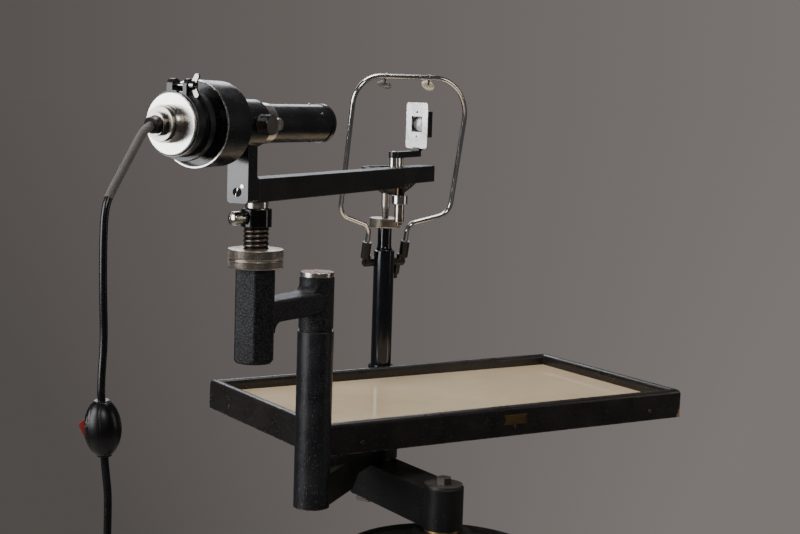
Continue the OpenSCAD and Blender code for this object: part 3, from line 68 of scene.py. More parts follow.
def makeCamera(c):
    az, tilt, roll = (math.radians(c[k]) for k in ("azimuth", "tilt", "roll"))
    forward = Vector((math.sin(az) * math.cos(tilt), math.cos(az) * math.cos(tilt), -math.sin(tilt)))
    right = Vector((math.cos(az), -math.sin(az), 0))
    up = right.cross(forward)
    across = math.cos(roll) * right + math.sin(roll) * up
    upright = math.cos(roll) * up - math.sin(roll) * right
    data = bpy.data.cameras.new("camera")
    data.sensor_width = c["sensor"]
    data.lens = c["focalPixels"] / c["imageWidth"] * c["sensor"]
    camera = bpy.data.objects.new("camera", data)
    scene.collection.objects.link(camera)
    camera.matrix_world = Matrix((
        (across.x, upright.x, -forward.x, c["place"][0]),
        (across.y, upright.y, -forward.y, c["place"][1]),
        (across.z, upright.z, -forward.z, c["place"][2]),
        (0, 0, 0, 1)))
    scene.camera = camera


makeCamera(cameraSetup)


# Axes of the spindle and the lamp
knobBehind = 0.002                                    # from the lamp's middle back to the side knob
spindle = Vector(joint("bar_swivel")["pos_m"])
lampAxis = Vector(joint("lamp_slide")["axis"])
sideAxis = Vector(joint("knob_turn")["axis"])         # from the lamp's axis towards the near side
lampMiddle = Vector(joint("knob_turn")["pos_m"]) + knobBehind * lampAxis


def alongLamp(t):
    return lampMiddle + t * lampAxis


def frameAlong(place, axis, across=None):
    z = Vector(axis).normalized()
    x = Vector(across) if across else z.orthogonal()
    x = (x - x.dot(z) * z).normalized()
    y = z.cross(x)
    return Matrix((
        (x.x, y.x, z.x, place[0]), (x.y, y.y, z.y, place[1]), (x.z, y.z, z.z, place[2]), (0, 0, 0, 1)))


# Mesh makers
sharpFrom = math.radians(38)                          # edges bent more than this are drawn sharp


def meshObject(name, points, faces, smooth=True):
    data = bpy.data.meshes.new(name)
    data.from_pydata([tuple(p) for p in points], [], faces)
    data.validate()
    data.update()
    for polygon in data.polygons:
        polygon.use_smooth = smooth
    if smooth:
        data.set_sharp_from_angle(angle=sharpFrom)
    piece = bpy.data.objects.new(name, data)
    scene.collection.objects.link(piece)
    return piece


# Faces between rings of points, each ring joined up to itself
def ringFaces(rings, sides):
    faces = []
    for i in range(rings - 1):
        for k in range(sides):
            a, b = i * sides + k, i * sides + (k + 1) % sides
            faces.append((a, b, b + sides, a + sides))
    return faces


def endFaces(rings, sides):
    last = (rings - 1) * sides
    return [tuple(reversed(range(sides))), tuple(range(last, last + sides))]


# profile: (radius, height) pairs from one end to the other, or round a ring's section when closed is set.
# relief(angle, height, radius) adds to the radius; the "groove" attribute keeps how deep it cuts
def lathe(name, profile, place, sides, relief=None, closed=False):
    points, depths = [], []
    for r, z in profile:
        for k in range(sides):
            a = turn * k / sides
            rise = relief(a, z, r) if relief else 0
            points.append(place @ Vector(((r + rise) * math.cos(a), (r + rise) * math.sin(a), z)))
            depths.append(-rise)
    faces, last = ringFaces(len(profile), sides), len(points) - sides
    if closed:
        faces += [(last + k, last + (k + 1) % sides, (k + 1) % sides, k) for k in range(sides)]
    else:
        faces += endFaces(len(profile), sides)
    piece = meshObject(name, points, faces)
    if relief:
        deepest = max(depths)
        cut = piece.data.attributes.new("groove", "FLOAT", "POINT")
        cut.data.foreach_set("value", [depth / deepest for depth in depths])
    return piece


# A tube round the points of path; relief(angle, length so far) adds to its radius
def tubeMesh(name, path, radius, sides, relief):
    points, rings, run = [], len(path), 0
    n = Vector((0, 0, 1))
    for i, p in enumerate(path):
        t = (path[min(i + 1, rings - 1)] - path[max(i - 1, 0)]).normalized()
        n = (n - n.dot(t) * t).normalized()
        b = t.cross(n)
        run += (p - path[max(i - 1, 0)]).length
        for k in range(sides):
            a = turn * k / sides
            r = radius + relief(a, run)
            points.append(p + r * (math.cos(a) * n + math.sin(a) * b))
    return meshObject(name, points, ringFaces(rings, sides) + endFaces(rings, sides))


def curveTube(name, path, radius, roundness=5):
    data = bpy.data.curves.new(name, "CURVE")
    data.dimensions = "3D"
    data.bevel_depth = radius
    data.bevel_resolution = roundness
    data.use_fill_caps = True
    spline = data.splines.new("POLY")
    spline.points.add(len(path) - 1)
    for point, place in zip(spline.points, path):
        point.co = (*place, 1)
    piece = bpy.data.objects.new(name, data)
    scene.collection.objects.link(piece)
    return piece


# A smooth curve through all points
def smoothPath(points, steps):
    out = []
    for i in range(len(points) - 1):
        a, b, c, d = (points[min(max(j, 0), len(points) - 1)] for j in (i - 1, i, i + 1, i + 2))
        for s in range(steps):
            t = s / steps
            out.append((2 * b + (c - a) * t + (2 * a - 5 * b + 4 * c - d) * t * t
                        + (3 * b - a - 3 * c + d) * t ** 3) / 2)
    return out + [points[-1]]


def pathLength(path):
    return sum((b - a).length for a, b in zip(path, path[1:]))


# Arc of radius r that rounds the corner p of a, p, b
def roundCorner(a, p, b, r, steps):
    u, v = (p - a).normalized(), (b - p).normalized()
    bend = u.angle(v)
    n = (v - u.dot(v) * u).normalized()
    start = p - u * r * math.tan(bend / 2)
    return [start + r * math.sin(bend * i / steps) * u + r * (1 - math.cos(bend * i / steps)) * n
            for i in range(steps + 1)]


# Cord: its route lies in the lamp's upright plane, as places along the lamp's axis and heights
cordValues = dict(
    diameter=0.0075,
    upper=[(-0.1385, 1.134), (-0.1443, 1.13245), (-0.1505, 1.1296), (-0.1565, 1.125), (-0.163, 1.1176),
           (-0.172, 1.106), (-0.185, 1.0895), (-0.197, 1.074), (-0.204, 1.063), (-0.2075, 1.05),
           (-0.2088, 1.03), (-0.209, 1.0), (-0.2083, 0.97), (-0.2073, 0.945), (-0.2076, 0.925),
           (-0.2094, 0.902), (-0.21, 0.8854), (-0.2093, 0.8774)],
    lower=[(-0.2046, 0.8236), (-0.2039, 0.8156), (-0.202, 0.803), (-0.1996, 0.785), (-0.1993, 0.76),
           (-0.2005, 0.72), (-0.204, 0.66), (-0.209, 0.58), (-0.214, 0.49), (-0.219, 0.39), (-0.223, 0.29),
           (-0.226, 0.2), (-0.227, 0.13), (-0.227, 0.08), (-0.227, 0.047), (-0.2243, 0.0336),
           (-0.2167, 0.0222), (-0.2054, 0.0146), (-0.192, 0.01195), (-0.1845, 0.01195)],
    coilCentre=(-0.177, 0.0515), coilRadius=0.0515, pitch=0.0094, topHeight=0.01195, lowHeight=0.00375,
    turnsIn=2.25, climb=0.5, turns=5.25, tailLength=0.034, tailHeight=0.008, steps=6, loopSteps=32,
    tailSteps=8, sleeveEnd=(-0.203, 1.0655), sleeveRadius=0.0041, sleeveSteps=16, sleeveSkip=4,
    sleeveSides=48, strands=6, braidPitch=0.0042, braidDepth=0.00016)


# x along the lamp's axis, y to its left, z from the floor
def inLampPlane(x, z, y=0):
    return Vector((lampMiddle.x, lampMiddle.y, 0)) + x * lampAxis - y * sideAxis + z * Vector((0, 0, 1))


def eased(t):
    return t * t * (3 - 2 * t)


# The spare cord: turns inwards on top, a climb down, turns outwards below them, then the straight tail
def coilPath(c):
    reach = c["turnsIn"] + c["climb"]

    def place(n):
        wound = n if n < c["turnsIn"] else c["turnsIn"] if n < reach else c["turnsIn"] - (n - reach)
        r = c["coilRadius"] - c["pitch"] * wound
        a = turn * n - math.pi / 2
        share = min(1, max(0, (n - c["turnsIn"]) / c["climb"]))
        z = c["topHeight"] + (c["lowHeight"] - c["topHeight"]) * eased(share)
        return c["coilCentre"][0] + r * math.cos(a), c["coilCentre"][1] + r * math.sin(a), z

    points = [place(i / c["loopSteps"]) for i in range(int(c["turns"] * c["loopSteps"]) + 1)]
    x, y, z = points[-1]
    for i in range(1, c["tailSteps"] + 1):
        share = i / c["tailSteps"]
        points.append((x, y + c["tailLength"] * share, z + (c["tailHeight"] - z) * eased(share)))
    points.append((x, y + c["tailLength"] + c["diameter"], c["tailHeight"]))
    return [inLampPlane(x, z, y) for x, y, z in points]


def makeCords(c):
    upperRoute = [inLampPlane(x, z) for x, z in c["upper"]]
    upper = smoothPath(upperRoute, c["steps"])
    lower = smoothPath([inLampPlane(x, z) for x, z in c["lower"]], c["steps"])
    coil = coilPath(c)
    lead = curveTube("cordUpper", upper, c["diameter"] / 2)
    tail = curveTube("cordLower", lower + coil, c["diameter"] / 2)
    end = inLampPlane(*c["sleeveEnd"])
    sleevePath = [p for p in smoothPath(upperRoute, c["sleeveSteps"]) if p.z > end.z][c["sleeveSkip"]:]

    def braid(angle, run):
        around, twist = c["strands"] * angle, turn * run / c["braidPitch"]
        return c["braidDepth"] * max(math.sin(around + twist), math.sin(around - twist))

    sleeve = tubeMesh("cordSleeve", sleevePath, c["sleeveRadius"], c["sleeveSides"], braid)
    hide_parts("cord_upper")
    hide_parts("cord_lower", "cord_coil")
    for piece, slotName in ((lead, "cord"), (tail, "cord"), (sleeve, "braid")):
        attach(piece, "lamp_insert")
    lengths = pathLength(upper), pathLength(lower + coil)
    print("cords:", [round(x, 3) for x in lengths], "m")
    return lead, tail, sleeve, upper, lower, lengths


cordLead, cordTail, cordSleeve, upperPath, lowerPath, cordLengths = makeCords(cordValues)


# Shader nodes; a value is a number, a colour, a vector or another node's output
def put(tree, value, socket):
    if isinstance(value, bpy.types.NodeSocket):
        tree.links.new(value, socket)
    else:
        socket.default_value = value


def shaderNode(tree, kind, values=None, **settings):
    made = tree.nodes.new("ShaderNode" + kind)
    for key, value in settings.items():
        setattr(made, key, value)
    for key, value in (values or {}).items():
        put(tree, value, made.inputs[key])
    return made


def mapped(tree, value, low, high, to=(0, 1)):
    return shaderNode(tree, "MapRange", {"Value": value, "From Min": low, "From Max": high,
                                         "To Min": to[0], "To Max": to[1]}).outputs[0]


def calc(tree, operation, a, b=0.0, clamp=False):
    return shaderNode(tree, "Math", {0: a, 1: b}, operation=operation, use_clamp=clamp).outputs[0]


def vectorCalc(tree, operation, *values):
    made = shaderNode(tree, "VectorMath", dict(enumerate(values)), operation=operation)
    return made.outputs["Value" if operation in ("DOT_PRODUCT", "LENGTH", "DISTANCE") else "Vector"]


def objectPlace(tree):
    return shaderNode(tree, "TexCoord").outputs["Object"]


def noise(tree, scale, detail=3.0, rough=0.5, place=None):
    return shaderNode(tree, "TexNoise", {"Vector": place or objectPlace(tree), "Scale": scale,
                                         "Detail": detail, "Roughness": rough}).outputs["Fac"]


# 0 on upright faces, 1 on those that face up
def facingUp(tree, low, high):
    normal = shaderNode(tree, "NewGeometry").outputs["Normal"]
    return mapped(tree, shaderNode(tree, "SeparateXYZ", {0: normal}).outputs["Z"], low, high)


def mixed(tree, share, a, b):
    blend = shaderNode(tree, "Mix", data_type="RGBA")
    put(tree, share, blend.inputs[0])
    for socket, value in ((blend.inputs[6], a), (blend.inputs[7], b)):
        put(tree, (*value, 1) if isinstance(value, tuple) else value, socket)
    return blend.outputs[2]


def bump(tree, height, distance, strength=1.0):
    return shaderNode(tree, "Bump", {"Height": height, "Distance": distance, "Strength": strength}).outputs[0]


# Shader groups that several finishes share, each with one output; the inputs are set where a group is placed
def newGroup(name, output, **inputs):
    tree = bpy.data.node_groups.new(name, "ShaderNodeTree")
    for label, value in inputs.items():
        kind = "NodeSocketVector" if isinstance(value, tuple) else "NodeSocketFloat"
        tree.interface.new_socket(name=label, in_out="INPUT", socket_type=kind).default_value = value
    tree.interface.new_socket(name=output, in_out="OUTPUT", socket_type="NodeSocketFloat")
    given = tree.nodes.new("NodeGroupInput").outputs
    return tree, given, tree.nodes.new("NodeGroupOutput").inputs[output]


# Bare edges: where a rounded normal leaves the true one, broken up into patches
def edgeWearGroup(v):
    tree, given, mask = newGroup("edgeWear", "Mask", Radius=0.001, Scale=90.0, Amount=0.6)
    rounded = shaderNode(tree, "Bevel", {"Radius": given["Radius"]}, samples=v["samples"]).outputs[0]
    level = vectorCalc(tree, "DOT_PRODUCT", rounded, shaderNode(tree, "NewGeometry").outputs["Normal"])
    patch = mapped(tree, noise(tree, given["Scale"], 5.0, 0.65), *v["patch"])
    bare = calc(tree, "MULTIPLY", mapped(tree, level, *v["bend"]), patch)
    tree.links.new(calc(tree, "MULTIPLY", bare, given["Amount"], True), mask)
    return tree


# Clouds between two values
def mottleGroup(v):
    tree, given, value = newGroup("mottle", "Value", Scale=20.0, Low=0.3, High=0.5)
    cloud = noise(tree, given["Scale"], 6.0, 0.6)
    tree.links.new(mapped(tree, cloud, *v["cloud"], (given["Low"], given["High"])), value)
    return tree


# Small spots: Share of the cells have one
def specksGroup():
    tree, given, mask = newGroup("specks", "Mask", Scale=900.0, Size=0.2, Share=0.4)
    cells = shaderNode(tree, "TexVoronoi", {"Vector": objectPlace(tree), "Scale": given["Scale"]})
    spot = calc(tree, "LESS_THAN", cells.outputs["Distance"], given["Size"])
    red = shaderNode(tree, "SeparateColor", {0: cells.outputs["Color"]}).outputs[0]
    tree.links.new(calc(tree, "MULTIPLY", spot, calc(tree, "LESS_THAN", red, given["Share"])), mask)
    return tree


# Dust on what faces up
def dustGroup(v):
    tree, given, mask = newGroup("settledDust", "Mask", Scale=60.0, Amount=0.3)
    cloud = mapped(tree, noise(tree, given["Scale"], 6.0, 0.7), *v["cloud"])
    laid = calc(tree, "MULTIPLY", facingUp(tree, *v["up"]), cloud)
    tree.links.new(calc(tree, "MULTIPLY", laid, given["Amount"], True), mask)
    return tree


# Thin swaying scratches, long where Along is small
def scratchGroup(v):
    tree, given, mask = newGroup("scratches", "Mask", Scale=12.0, Along=(1.0, 0.02, 1.0), Amount=0.5)
    bent = shaderNode(tree, "TexNoise", {"Vector": objectPlace(tree), "Scale": v["swayScale"]})
    swayed = vectorCalc(tree, "MULTIPLY_ADD", bent.outputs["Color"], (v["sway"],) * 3, objectPlace(tree))
    stretched = vectorCalc(tree, "MULTIPLY", swayed, given["Along"])
    lines = noise(tree, calc(tree, "MULTIPLY", given["Scale"], v["finer"]), 2.0, 0.4, stretched)
    thin = mapped(tree, calc(tree, "ABSOLUTE", calc(tree, "SUBTRACT", lines, 0.5)), *v["line"])
    some = mapped(tree, noise(tree, calc(tree, "MULTIPLY", given["Scale"], v["patches"])), *v["patch"])
    kept = calc(tree, "MULTIPLY", thin, some)
    tree.links.new(calc(tree, "MULTIPLY", kept, given["Amount"], True), mask)
    return tree


# Fine rings that a lathe leaves, about an axis through a centre
def turnedGroup():
    tree, given, value = newGroup("turnedRings", "Value", Centre=(0.0, 0.0, 0.0), Axis=(0.0, 0.0, 1.0),
                                  Scale=3000.0)
    out = vectorCalc(tree, "SUBTRACT", objectPlace(tree), given["Centre"])
    along = vectorCalc(tree, "DOT_PRODUCT", out, given["Axis"])
    run = shaderNode(tree, "VectorMath", {0: given["Axis"], "Scale": along}, operation="SCALE").outputs[0]
    radius = vectorCalc(tree, "LENGTH", vectorCalc(tree, "SUBTRACT", out, run))
    place = shaderNode(tree, "CombineXYZ", {0: along, 1: radius}).outputs[0]
    tree.links.new(noise(tree, given["Scale"], 3.0, 0.7, place), value)
    return tree


# Painted shade: darker where ambient occlusion finds faces close by, in grooves and corners
def hollowShadeGroup(v):
    tree, given, mask = newGroup("hollowShade", "Mask", Reach=0.0015, Open=0.75, Shut=0.35)
    seen = shaderNode(tree, "AmbientOcclusion", {"Distance": given["Reach"]}, samples=v["samples"],
                      only_local=True)
    tree.links.new(mapped(tree, seen.outputs["AO"], given["Open"], given["Shut"]), mask)
    return tree


edgeWear = edgeWearGroup(dict(samples=6, bend=(0.995, 0.86), patch=(0.42, 0.6)))
mottle = mottleGroup(dict(cloud=(0.35, 0.65)))
specks = specksGroup()
dust = dustGroup(dict(up=(0.55, 1.0), cloud=(0.4, 0.62)))
scratches = scratchGroup(dict(swayScale=6.0, sway=0.02, finer=60.0, line=(0.012, 0.002), patches=2.0,
                              patch=(0.5, 0.62)))
turnedRings = turnedGroup()
hollowShade = hollowShadeGroup(dict(samples=6))
print("shader groups made")


def grouped(tree, group, output, **values):
    made = tree.nodes.new("ShaderNodeGroup")
    made.node_tree = group
    for key, value in values.items():
        made.inputs[key].default_value = value
    return made.outputs[output]


def mottled(tree, scale, low=0.0, high=1.0):
    return grouped(tree, mottle, "Value", Scale=scale, Low=low, High=high)


# What finishes have in common: two shades, specks, worn edges, and roughness with more of it where extra says
def shades(tree, v):
    return mixed(tree, mottled(tree, v["cloudScale"]), v["colour"], v["colour2"])


def specked(tree, colour, v):
    spots = grouped(tree, specks, "Mask", Scale=v["speckScale"], Size=v["speckSize"], Share=v["speckShare"])
    return mixed(tree, spots, colour, v["speckColour"])


def worn(tree, colour, v):
    bare = grouped(tree, edgeWear, "Mask", Radius=v["wearRadius"], Scale=v["wearScale"], Amount=v["wear"])
    return mixed(tree, bare, colour, v["wornColour"])


def roughened(tree, v, extra, share):
    base = mottled(tree, v["roughScale"], *v["rough"])
    return calc(tree, "ADD", base, calc(tree, "MULTIPLY", extra, share), True)


# A material with a Principled shader; what is uniform is set on its sockets, and feed joins up the rest
def newMaterial(name, **uniform):
    material = bpy.data.materials.new(name)
    material.use_nodes = True
    inputs = material.node_tree.nodes["Principled BSDF"].inputs
    for label, value in uniform.items():
        inputs[label.replace("_", " ")].default_value = value
    return material, material.node_tree, inputs


def feed(tree, inputs, **values):
    for label, value in values.items():
        tree.links.new(value, inputs[label.replace("_", " ")])


# Black paint in its several ages; a finish's own dictionary goes before the usual values
usualPaint = dict(
    specular=0.5, coat=0.0, coatLow=0.7, coatRough=0.15, coatScale=11.0, cloudScale=14.0, roughScale=30.0,
    grainScale=900.0, grainHeight=0.00004, ridge=(0.5, 0.64), ridgeColour=None, speckScale=700.0,
    speckSize=0.25, speckShare=0.04, speckColour=(0.2, 0.19, 0.18), dust=0.04, dustScale=70.0,
    dustColour=(0.22, 0.21, 0.19), scratch=0.3, scratchScale=9.0, scratchAlong=(1.0, 1.0, 0.06),
    scratchRough=0.2, scuffColour=(0.12, 0.115, 0.11), wear=0.5, wearRadius=0.0011, wearScale=85.0,
    wornColour=(0.2, 0.15, 0.11), chips=[], chipGrain=500.0, chipEdge=(1.42, 1.36))


def blackPaint(name, values):
    v = {**usualPaint, **values}
    material, tree, inputs = newMaterial(name, Specular_IOR_Level=v["specular"],
                                         Coat_Roughness=v["coatRough"])
    grain = noise(tree, v["grainScale"], 3.0, 0.6)
    colour = shades(tree, v)
    if v["ridgeColour"]:
        colour = mixed(tree, mapped(tree, grain, *v["ridge"]), colour, v["ridgeColour"])
    laid = grouped(tree, dust, "Mask", Scale=v["dustScale"], Amount=v["dust"])
    colour = mixed(tree, laid, specked(tree, colour, v), v["dustColour"])
    scuffed = grouped(tree, scratches, "Mask", Scale=v["scratchScale"], Amount=v["scratch"],
                      Along=v["scratchAlong"])
    colour = worn(tree, mixed(tree, scuffed, colour, v["scuffColour"]), v)
    if v["chips"]:
        ragged = noise(tree, v["chipGrain"])
    for spot, size in v["chips"]:
        away = calc(tree, "DIVIDE", vectorCalc(tree, "DISTANCE", objectPlace(tree), spot), size)
        chip = mapped(tree, calc(tree, "ADD", away, ragged), *v["chipEdge"])
        colour = mixed(tree, chip, colour, v["chipColour"])
    feed(tree, inputs, Base_Color=colour, Roughness=roughened(tree, v, scuffed, v["scratchRough"]),
         Normal=bump(tree, grain, v["grainHeight"]))
    if v["coat"]:
        feed(tree, inputs, Coat_Weight=mottled(tree, v["coatScale"], v["coat"] * v["coatLow"], v["coat"]))
    return material


# Bare or plated metal: mottled tarnish, turned rings, light wear, and painted shade in its grooves
usualPlate = dict(
    cloudScale=35.0, roughScale=60.0, speckScale=900.0, speckSize=0.2, speckShare=0.05,
    speckColour=(0.12, 0.1, 0.08), wear=0.5, wearRadius=0.0006, wearScale=140.0,
    wornColour=(0.8, 0.74, 0.66), top=(0.85, 0.97), topColour=None, groove=(0.35, 0.8), grooveShadeColour=None,
    grooveShadeReach=0.0015, centre=(0, 0, 0), axis=(0, 0, 1), ringScale=2600.0, ringRough=0.08,
    ringHeight=0.000012, ringStrength=0.6)


def plate(name, values):
    v = {**usualPlate, **values}
    material, tree, inputs = newMaterial(name, Metallic=1.0)
    colour = worn(tree, specked(tree, shades(tree, v), v), v)
    if v["topColour"]:
        top = facingUp(tree, *v["top"])
        colour = mixed(tree, top, colour, v["topColour"])
        bright = calc(tree, "SUBTRACT", 1.0, calc(tree, "MULTIPLY", top, v["topPaint"]))
        feed(tree, inputs, Metallic=bright)
    # Painted shade: the groove colour darkens the cut grooves and the hollows that ambient occlusion finds
    if v["grooveShadeColour"]:
        depth = shaderNode(tree, "Attribute", attribute_name="groove").outputs["Fac"]
        occludedShade = grouped(tree, hollowShade, "Mask", Reach=v["grooveShadeReach"])
        paintedGrooveShade = calc(tree, "MAXIMUM", mapped(tree, depth, *v["groove"]), occludedShade)
        colour = mixed(tree, paintedGrooveShade, colour, v["grooveShadeColour"])
    rings = grouped(tree, turnedRings, "Value", Centre=v["centre"], Axis=v["axis"], Scale=v["ringScale"])
    feed(tree, inputs, Base_Color=colour, Roughness=roughened(tree, v, rings, v["ringRough"]),
         Normal=bump(tree, rings, v["ringHeight"], v["ringStrength"]))
    return material


# Moulded plastic, rubber and the like
usualPlain = dict(
    specular=0.5, cloudScale=40.0, roughScale=70.0, wear=0.3, wearRadius=0.0008, wearScale=120.0,
    wornColour=(0.2, 0.2, 0.2), grainScale=1200.0, grainHeight=0.00002)


def plain(name, values):
    v = {**usualPlain, **values}
    material, tree, inputs = newMaterial(name, Specular_IOR_Level=v["specular"])
    feed(tree, inputs, Base_Color=worn(tree, shades(tree, v), v),
         Roughness=mottled(tree, v["roughScale"], *v["rough"]),
         Normal=bump(tree, noise(tree, v["grainScale"], 2.0), v["grainHeight"]))
    return material


# Finishes: plain colours in linear light, sizes in metres, scales in spots or waves to the metre
spindleAxis = dict(centre=(spindle.x, spindle.y, 0), axis=(0, 0, 1))
lampRings = dict(centre=tuple(lampMiddle), axis=tuple(lampAxis))
headAxis = dict(centre=(middle("chin_ring").x, middle("chin_ring").y, 0), axis=(0, 0, 1))
postAxis = dict(centre=(middle("lamp_post").x, middle("lamp_post").y, 0), axis=(0, 0, 1))

enamel = blackPaint("glossBlackEnamel", dict(
    colour=(0.0035, 0.004, 0.006), colour2=(0.005, 0.0055, 0.008), rough=(0.07, 0.14), coat=0.5, wear=0.12,
    speckShare=0.0, scratch=0.08, grainScale=220.0, grainHeight=0.000015, dust=0.02))
# Its bright specks are painted highlights, standing for the glints of its orange-peel grain
postPaint = blackPaint("postBlack", dict(
    colour=(0.005, 0.005, 0.006), colour2=(0.009, 0.009, 0.0105), rough=(0.26, 0.42), wear=0.95,
    wearRadius=0.0014, wornColour=(0.42, 0.22, 0.13), scuffColour=(0.1, 0.105, 0.115), grainScale=520.0,
    grainHeight=0.00022, ridgeColour=(0.02, 0.021, 0.024), speckShare=0.16, speckScale=560.0, speckSize=0.3,
    speckColour=(0.1, 0.105, 0.12), cloudScale=26.0))
satinBlack = blackPaint("satinBlack", dict(
    colour=(0.0075, 0.0068, 0.0065), colour2=(0.0125, 0.0112, 0.0108), rough=(0.26, 0.4),
    wornColour=(0.16, 0.14, 0.12), scratch=0.15, speckShare=0.03))
lampBlack = blackPaint("lampBlack", dict(
    colour=(0.007, 0.007, 0.0085), colour2=(0.012, 0.012, 0.0145), rough=(0.2, 0.34), coat=0.12, wear=0.35,
    wornColour=(0.3, 0.26, 0.22), wearRadius=0.0006, scratch=0.1, speckShare=0.03, dust=0.12,
    grainHeight=0.00002))
collarBlack = blackPaint("collarBlack", dict(
    colour=(0.0015, 0.0015, 0.0015), colour2=(0.0025, 0.0025, 0.0025), rough=(0.12, 0.2), wear=0.25,
    speckShare=0.01, scratch=0.05, dust=0.01, wornColour=(0.3, 0.27, 0.24)))
barPaint = blackPaint("barBlack", dict(
    colour=(0.008, 0.0072, 0.007), colour2=(0.013, 0.0118, 0.0115), rough=(0.34, 0.48), wear=0.8,
    wornColour=(0.14, 0.12, 0.1), scratchAlong=(0.1, 0.1, 1.0), scratch=0.2, dust=0.08))
bracketPaint = blackPaint("bracketOlive", dict(
    colour=(0.006, 0.006, 0.0045), colour2=(0.01, 0.0098, 0.0075), rough=(0.3, 0.44)))
# Its bright specks are painted highlights, standing for the glints of the crinkle's grain
crinkle = blackPaint("crinkleBlack", dict(
    colour=(0.0025, 0.0025, 0.003), colour2=(0.005, 0.005, 0.006), rough=(0.42, 0.56), wear=0.2,
    speckShare=0.4, speckScale=820.0, speckSize=0.26, speckColour=(0.085, 0.087, 0.097), scratch=0.02,
    grainScale=560.0, grainHeight=0.0003, ridgeColour=(0.04, 0.04, 0.046), dust=0.06, specular=0.28,
    chips=[((spindle.x + x, spindle.y + y, z), size) for x, y, z, size in (
        (0.052, 0.045, 0.955, 0.0016), (0.07, 0.04, 0.956, 0.0013), (0.035, 0.02, 0.953, 0.0012))],
    chipColour=(0.5, 0.46, 0.4)))
uprightPaint = blackPaint("uprightPaint", dict(
    colour=(0.006, 0.0055, 0.0075), colour2=(0.009, 0.0085, 0.011), rough=(0.16, 0.26), coat=0.6,
    coatRough=0.2, grainHeight=0.00002, scratch=0.08, speckShare=0.02))
railPaint = blackPaint("railPaint", dict(
    colour=(0.009, 0.0072, 0.007), colour2=(0.019, 0.0145, 0.0138), rough=(0.24, 0.4), wear=0.9,
    wearRadius=0.0024, wornColour=(0.2, 0.175, 0.165), scratchAlong=(0.08, 0.3, 1.0), dust=0.12,
    speckShare=0.06, cloudScale=6.0,
    chips=[((0.4288, 0.07, 0.7455), 0.006), ((0.4288, 0.0705, 0.752), 0.0035)],
    chipColour=(0.36, 0.22, 0.12)))
# In the plated finishes below, the groove colour is painted shade for grooves and hollows
nickel = plate("warmNickel", dict(
    colour=(0.62, 0.57, 0.51), colour2=(0.74, 0.69, 0.62), rough=(0.12, 0.24), **spindleAxis))
lampNickel = plate("lampNickel", dict(
    colour=(0.58, 0.55, 0.5), colour2=(0.72, 0.68, 0.62), rough=(0.14, 0.24), ringRough=0.12, **lampRings))
# Darker than the lamp's nickel: painted shade for the socket's grooved steps, with more painted shade in its
# grooves
socketNickel = plate("socketNickel", dict(
    colour=(0.3, 0.28, 0.25), colour2=(0.42, 0.39, 0.35), rough=(0.14, 0.24), ringRough=0.1,
    grooveShadeReach=0.003, grooveShadeColour=(0.045, 0.038, 0.032), **lampRings))
wingNickel = plate("wingNickel", dict(
    colour=(0.26, 0.25, 0.24), colour2=(0.4, 0.38, 0.36), rough=(0.1, 0.2), grooveShadeReach=0.002,
    grooveShadeColour=(0.02, 0.018, 0.016), ringHeight=0.0))
capSilver = plate("capSilver", dict(
    colour=(0.72, 0.7, 0.67), colour2=(0.8, 0.78, 0.75), rough=(0.14, 0.22), ringRough=0.2,
    ringScale=3600.0, ringHeight=0.00004, **lampRings))
tarnished = plate("tarnishedNickel", dict(
    colour=(0.42, 0.36, 0.31), colour2=(0.54, 0.48, 0.41), rough=(0.26, 0.4), speckShare=0.08,
    ringHeight=0.0, grooveShadeColour=(0.05, 0.04, 0.033), **spindleAxis))
tarnishedBright = plate("plungerNickel", dict(
    colour=(0.36, 0.31, 0.26), colour2=(0.5, 0.45, 0.38), rough=(0.14, 0.24), speckShare=0.1))
bronze = plate("darkBronze", dict(
    colour=(0.05, 0.035, 0.024), colour2=(0.09, 0.062, 0.04), rough=(0.16, 0.3),
    wornColour=(0.5, 0.36, 0.2)))
chinNickel = plate("chinNickel", dict(
    colour=(0.5, 0.45, 0.4), colour2=(0.64, 0.58, 0.51), rough=(0.24, 0.38),
    grooveShadeColour=(0.06, 0.05, 0.042), ringHeight=0.0, **headAxis))
wireNickel = plate("wireNickel", dict(
    colour=(0.84, 0.81, 0.77), colour2=(0.88, 0.85, 0.81), rough=(0.08, 0.15), ringRough=0.0,
    speckShare=0.0, ringHeight=0.0, wear=0.0))
# Its dark colour is partly painted shade for the spindle's thread grooves; the groove colour adds more
# painted shade in them
steel = plate("wornSteel", dict(
    colour=(0.16, 0.14, 0.12), colour2=(0.25, 0.225, 0.195), rough=(0.2, 0.34), speckShare=0.1,
    ringHeight=0.0, grooveShadeReach=0.003, grooveShadeColour=(0.02, 0.016, 0.014), **spindleAxis))
darkSteel = plate("darkSteel", dict(
    colour=(0.09, 0.082, 0.075), colour2=(0.15, 0.135, 0.12), rough=(0.35, 0.5), wear=0.6,
    wornColour=(0.35, 0.31, 0.27)))
labelBrass = plate("labelBrass", dict(
    colour=(0.13, 0.09, 0.04), colour2=(0.22, 0.15, 0.065), rough=(0.34, 0.48), wear=1.0, speckShare=0.3,
    wornColour=(0.6, 0.42, 0.18)))
brass = plate("dullBrass", dict(
    colour=(0.36, 0.22, 0.08), colour2=(0.5, 0.33, 0.13), rough=(0.3, 0.45), speckShare=0.2,
    wornColour=(0.75, 0.55, 0.28)))
knobPaint = blackPaint("knobTaupe", dict(
    colour=(0.06, 0.052, 0.047), colour2=(0.075, 0.066, 0.06), rough=(0.42, 0.55), wear=0.3, speckShare=0.0,
    wornColour=(0.2, 0.18, 0.16), grainHeight=0.00002, dust=0.0))
gripBlack = blackPaint("gripBlack", dict(
    colour=(0.004, 0.004, 0.004), colour2=(0.006, 0.006, 0.006), rough=(0.12, 0.2), wear=0.2,
    speckShare=0.0))
